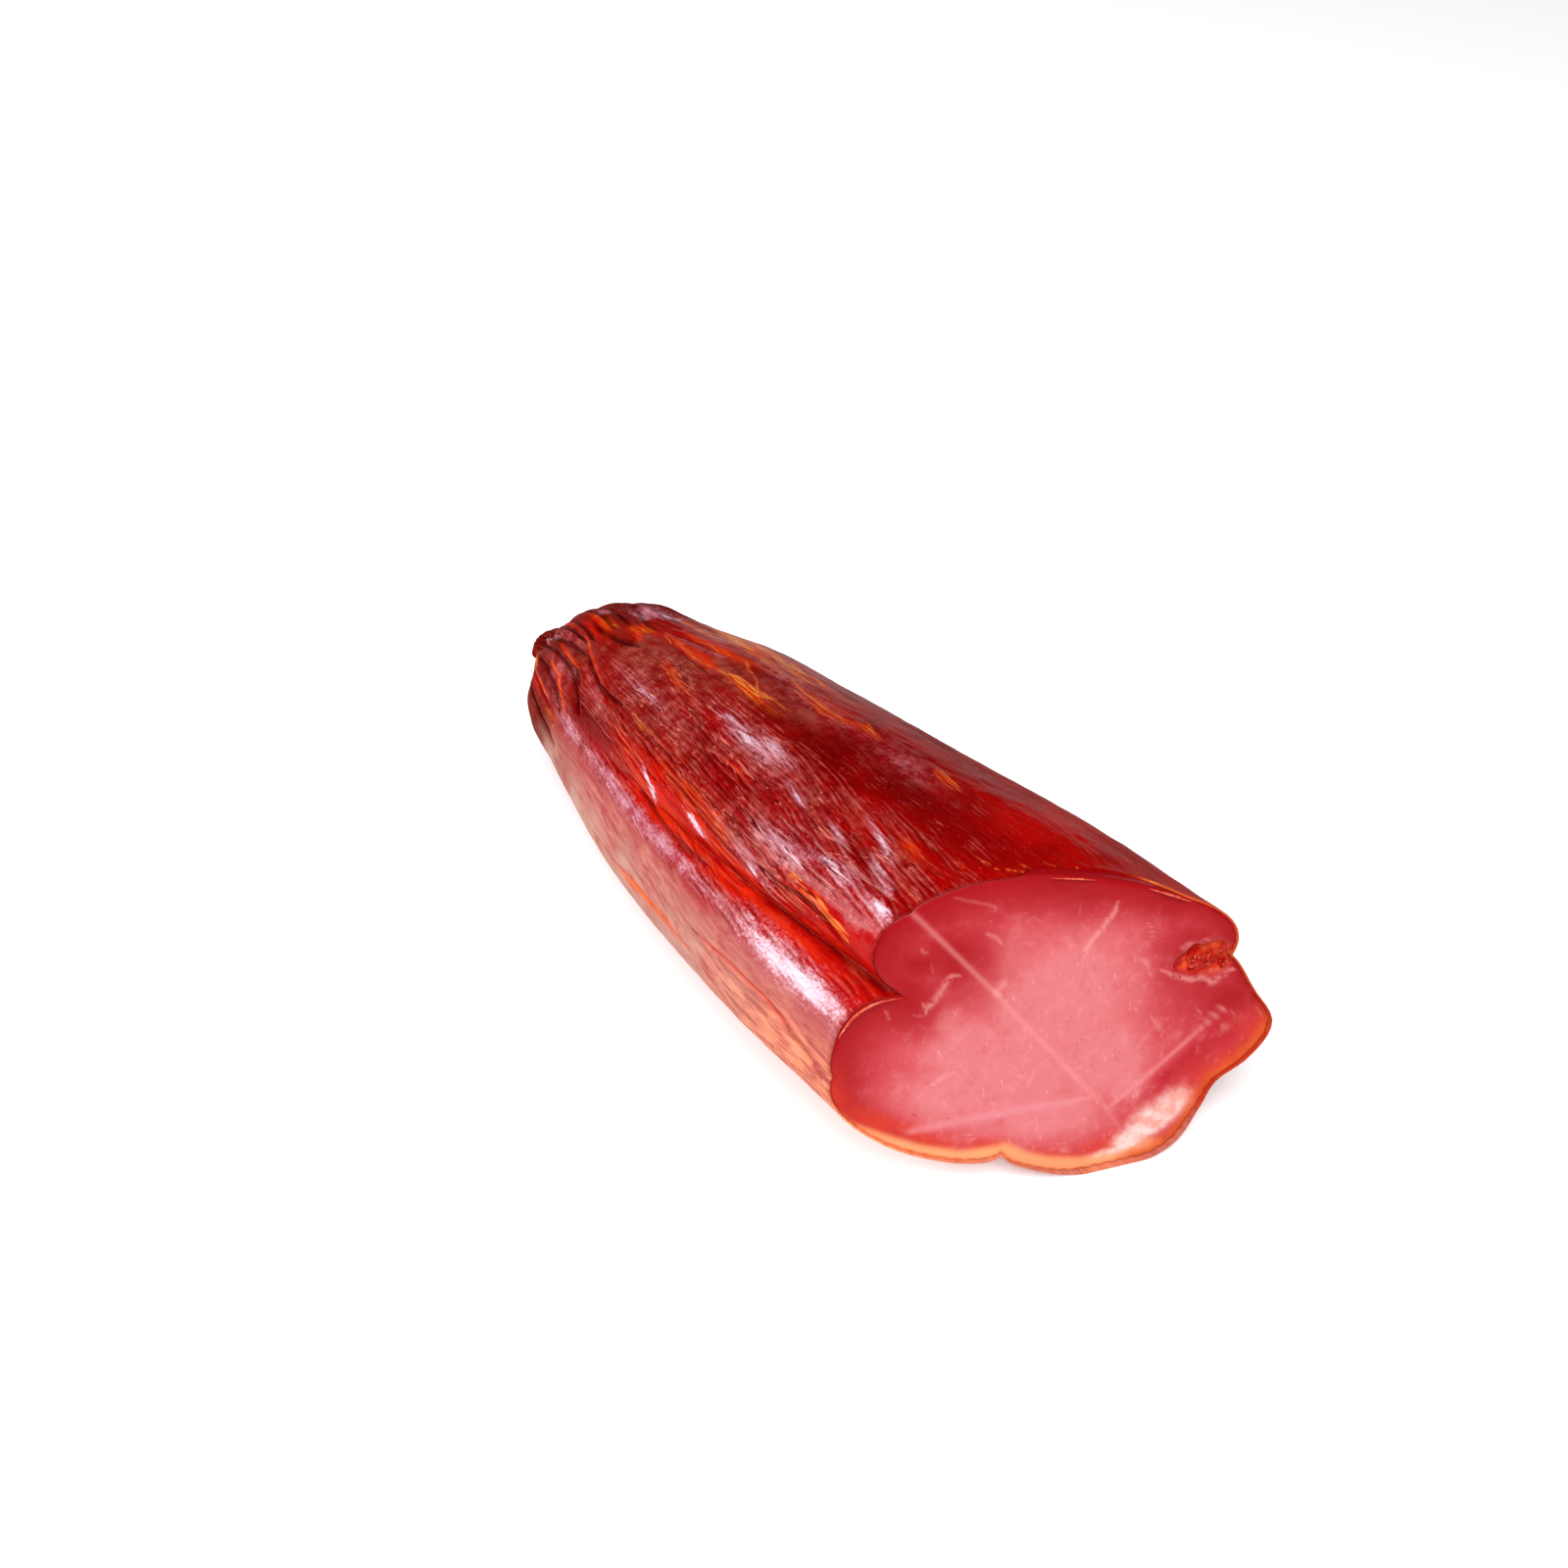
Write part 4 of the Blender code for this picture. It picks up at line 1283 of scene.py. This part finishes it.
def make_strip(name, start, end, inward, forward, thickness, finish):
    """A torn strip that runs along the edge of the cut, thin at both ends."""
    share = np.linspace(0, 1, STRIP_ROWS)
    angles = start + (end - start) * share
    x = edge_reach(angles, inward)
    uneven = rough(share * 6, 0 * share, 4, 151)
    y, z = section(angles, x, inward + thickness * (uneven - 0.5))
    path = np.stack([x + forward * (0.5 + uneven), y, z], -1)
    turn = np.radians(angles)
    outward = np.stack([0 * turn, np.cos(turn), np.sin(turn)], -1)
    ahead = np.array([1.0, 0, 0])
    girth = thickness * np.sqrt(np.sin(math.pi * share)) * (0.6 + 0.8 * rough(share * 9, 0 * share, 4, 161))
    rows = []
    for i in range(STRIP_ROWS):
        around = np.linspace(0, 2 * math.pi, STRIP_COLUMNS)[:, None]
        rows.append(path[i] + girth[i] * (np.cos(around) * outward[i] + 0.6 * np.sin(around) * ahead))
    chart = np.zeros((STRIP_ROWS, STRIP_COLUMNS, 2))
    make_sheet(name, stand_in_place(np.stack(rows)), chart, {}, finish)


def make_crumbs(finish):
    """Crumbs of torn meat that lie in the right notch."""
    rng = np.random.default_rng(CRUMB_SEED)
    bm = bmesh.new()
    for _ in range(CRUMBS):
        y = rng.uniform(*CRUMB_SIDE)
        z = CRUMB_HEIGHT + rng.normal(0, 1.0) - 0.12 * (y - 32)
        x = CUT_REACH + knife_plane(y, z) - stroke_fall(y, z) - rng.uniform(0.5, 1.2)
        radius = rng.uniform(*CRUMB_SIZE) * MM
        lump = bmesh.ops.create_icosphere(bm, subdivisions=2, radius=radius)["verts"]
        centre = stand_in_place(np.array([x, y, z]))
        stretch = np.array([0.6, rng.uniform(0.9, 1.9), rng.uniform(0.6, 1.1)])
        bump = rng.uniform(0.8, 1.2, len(lump))
        for vert, swell in zip(lump, bump):
            vert.co = centre + np.array(vert.co) * stretch * swell
    mesh = bpy.data.meshes.new("torn_crumbs")
    bm.to_mesh(mesh)
    bm.free()
    add_piece("torn_crumbs", mesh, finish)


def make_torn_edges():
    finish = torn_finish("Torn casing", (196, 66, 44), (222, 134, 104))
    for name, start, end, inward, forward, thickness in STRIPS:
        make_strip(name, start, end, inward, forward, thickness, finish)
    make_crumbs(torn_finish("Torn meat", (178, 30, 22), (222, 104, 84)))


# The studio in metres: a pale floor just under the loin, two soft lamps and a faint sky
FLOOR_SIZE = 3.0
FLOOR_DROP = 0.0002
FLOOR_TINT = (0.93, 0.93, 0.93, 1)
FLOOR_GLOW = 0.25
SKY_STRENGTH = 0.04
# Name, direction from the loin, distance, size, power in watts
LAMPS = (
    ("front light", (0.40, -0.22, 0.90), 1.3, 1.0, 18),
    ("left light", (-0.50, -0.62, 0.50), 1.2, 0.5, 8.5),
)
CAMERA_PLACE = (0.2694, -0.2238, 0.3588)
CAMERA_TIP = math.radians(48)
CAMERA_TURN = math.radians(51)
LENS_MM = 50.85
SENSOR_MM = 36.0


def make_floor():
    mesh = bpy.data.meshes.new("floor")
    bm = bmesh.new()
    bmesh.ops.create_grid(bm, x_segments=1, y_segments=1, size=FLOOR_SIZE)
    bmesh.ops.translate(bm, verts=bm.verts, vec=(0, 0, -FLOOR_DROP))
    bm.to_mesh(mesh)
    bm.free()
    pale = {"Base_Color": FLOOR_TINT, "Emission_Color": FLOOR_TINT}
    finish = Finish("Pale floor", Roughness=0.6, Emission_Strength=FLOOR_GLOW, **pale)
    add_object("floor", mesh, finish.material)


def add_lamp(name, direction, distance, size, power):
    """A soft square lamp that faces the loin from a direction."""
    lamp = bpy.data.lights.new(name, "AREA")
    lamp.shape = "SQUARE"
    lamp.size = size
    lamp.energy = power
    light = bpy.data.objects.new(name, lamp)
    way = np.array(direction) / np.linalg.norm(direction)
    light.location = way * distance
    flat = math.hypot(way[0], way[1])
    light.rotation_euler = (math.atan2(flat, way[2]), 0, math.atan2(way[0], -way[1]))
    bpy.context.scene.collection.objects.link(light)


def light_studio():
    world = bpy.data.worlds.new("Studio")
    world.use_nodes = True
    sky = world.node_tree.nodes["Background"]
    sky.inputs["Color"].default_value = (1, 1, 1, 1)
    sky.inputs["Strength"].default_value = SKY_STRENGTH
    bpy.context.scene.world = world
    for lamp in LAMPS:
        add_lamp(*lamp)
    bpy.context.scene.view_settings.view_transform = "Standard"
    bpy.context.scene.view_settings.look = "Medium High Contrast"


def place_camera():
    """The photograph's view: 42 degrees down and 51 degrees round, through a lens of about 51 mm."""
    lens = bpy.data.cameras.new("camera")
    lens.sensor_width = SENSOR_MM
    lens.lens = LENS_MM
    lens.clip_start = 0.01
    camera = bpy.data.objects.new("camera", lens)
    camera.location = CAMERA_PLACE
    camera.rotation_euler = (CAMERA_TIP, 0, CAMERA_TURN)
    bpy.context.scene.collection.objects.link(camera)
    bpy.context.scene.camera = camera


make_casing()
make_meat()
make_torn_edges()
make_floor()
light_studio()
place_camera()
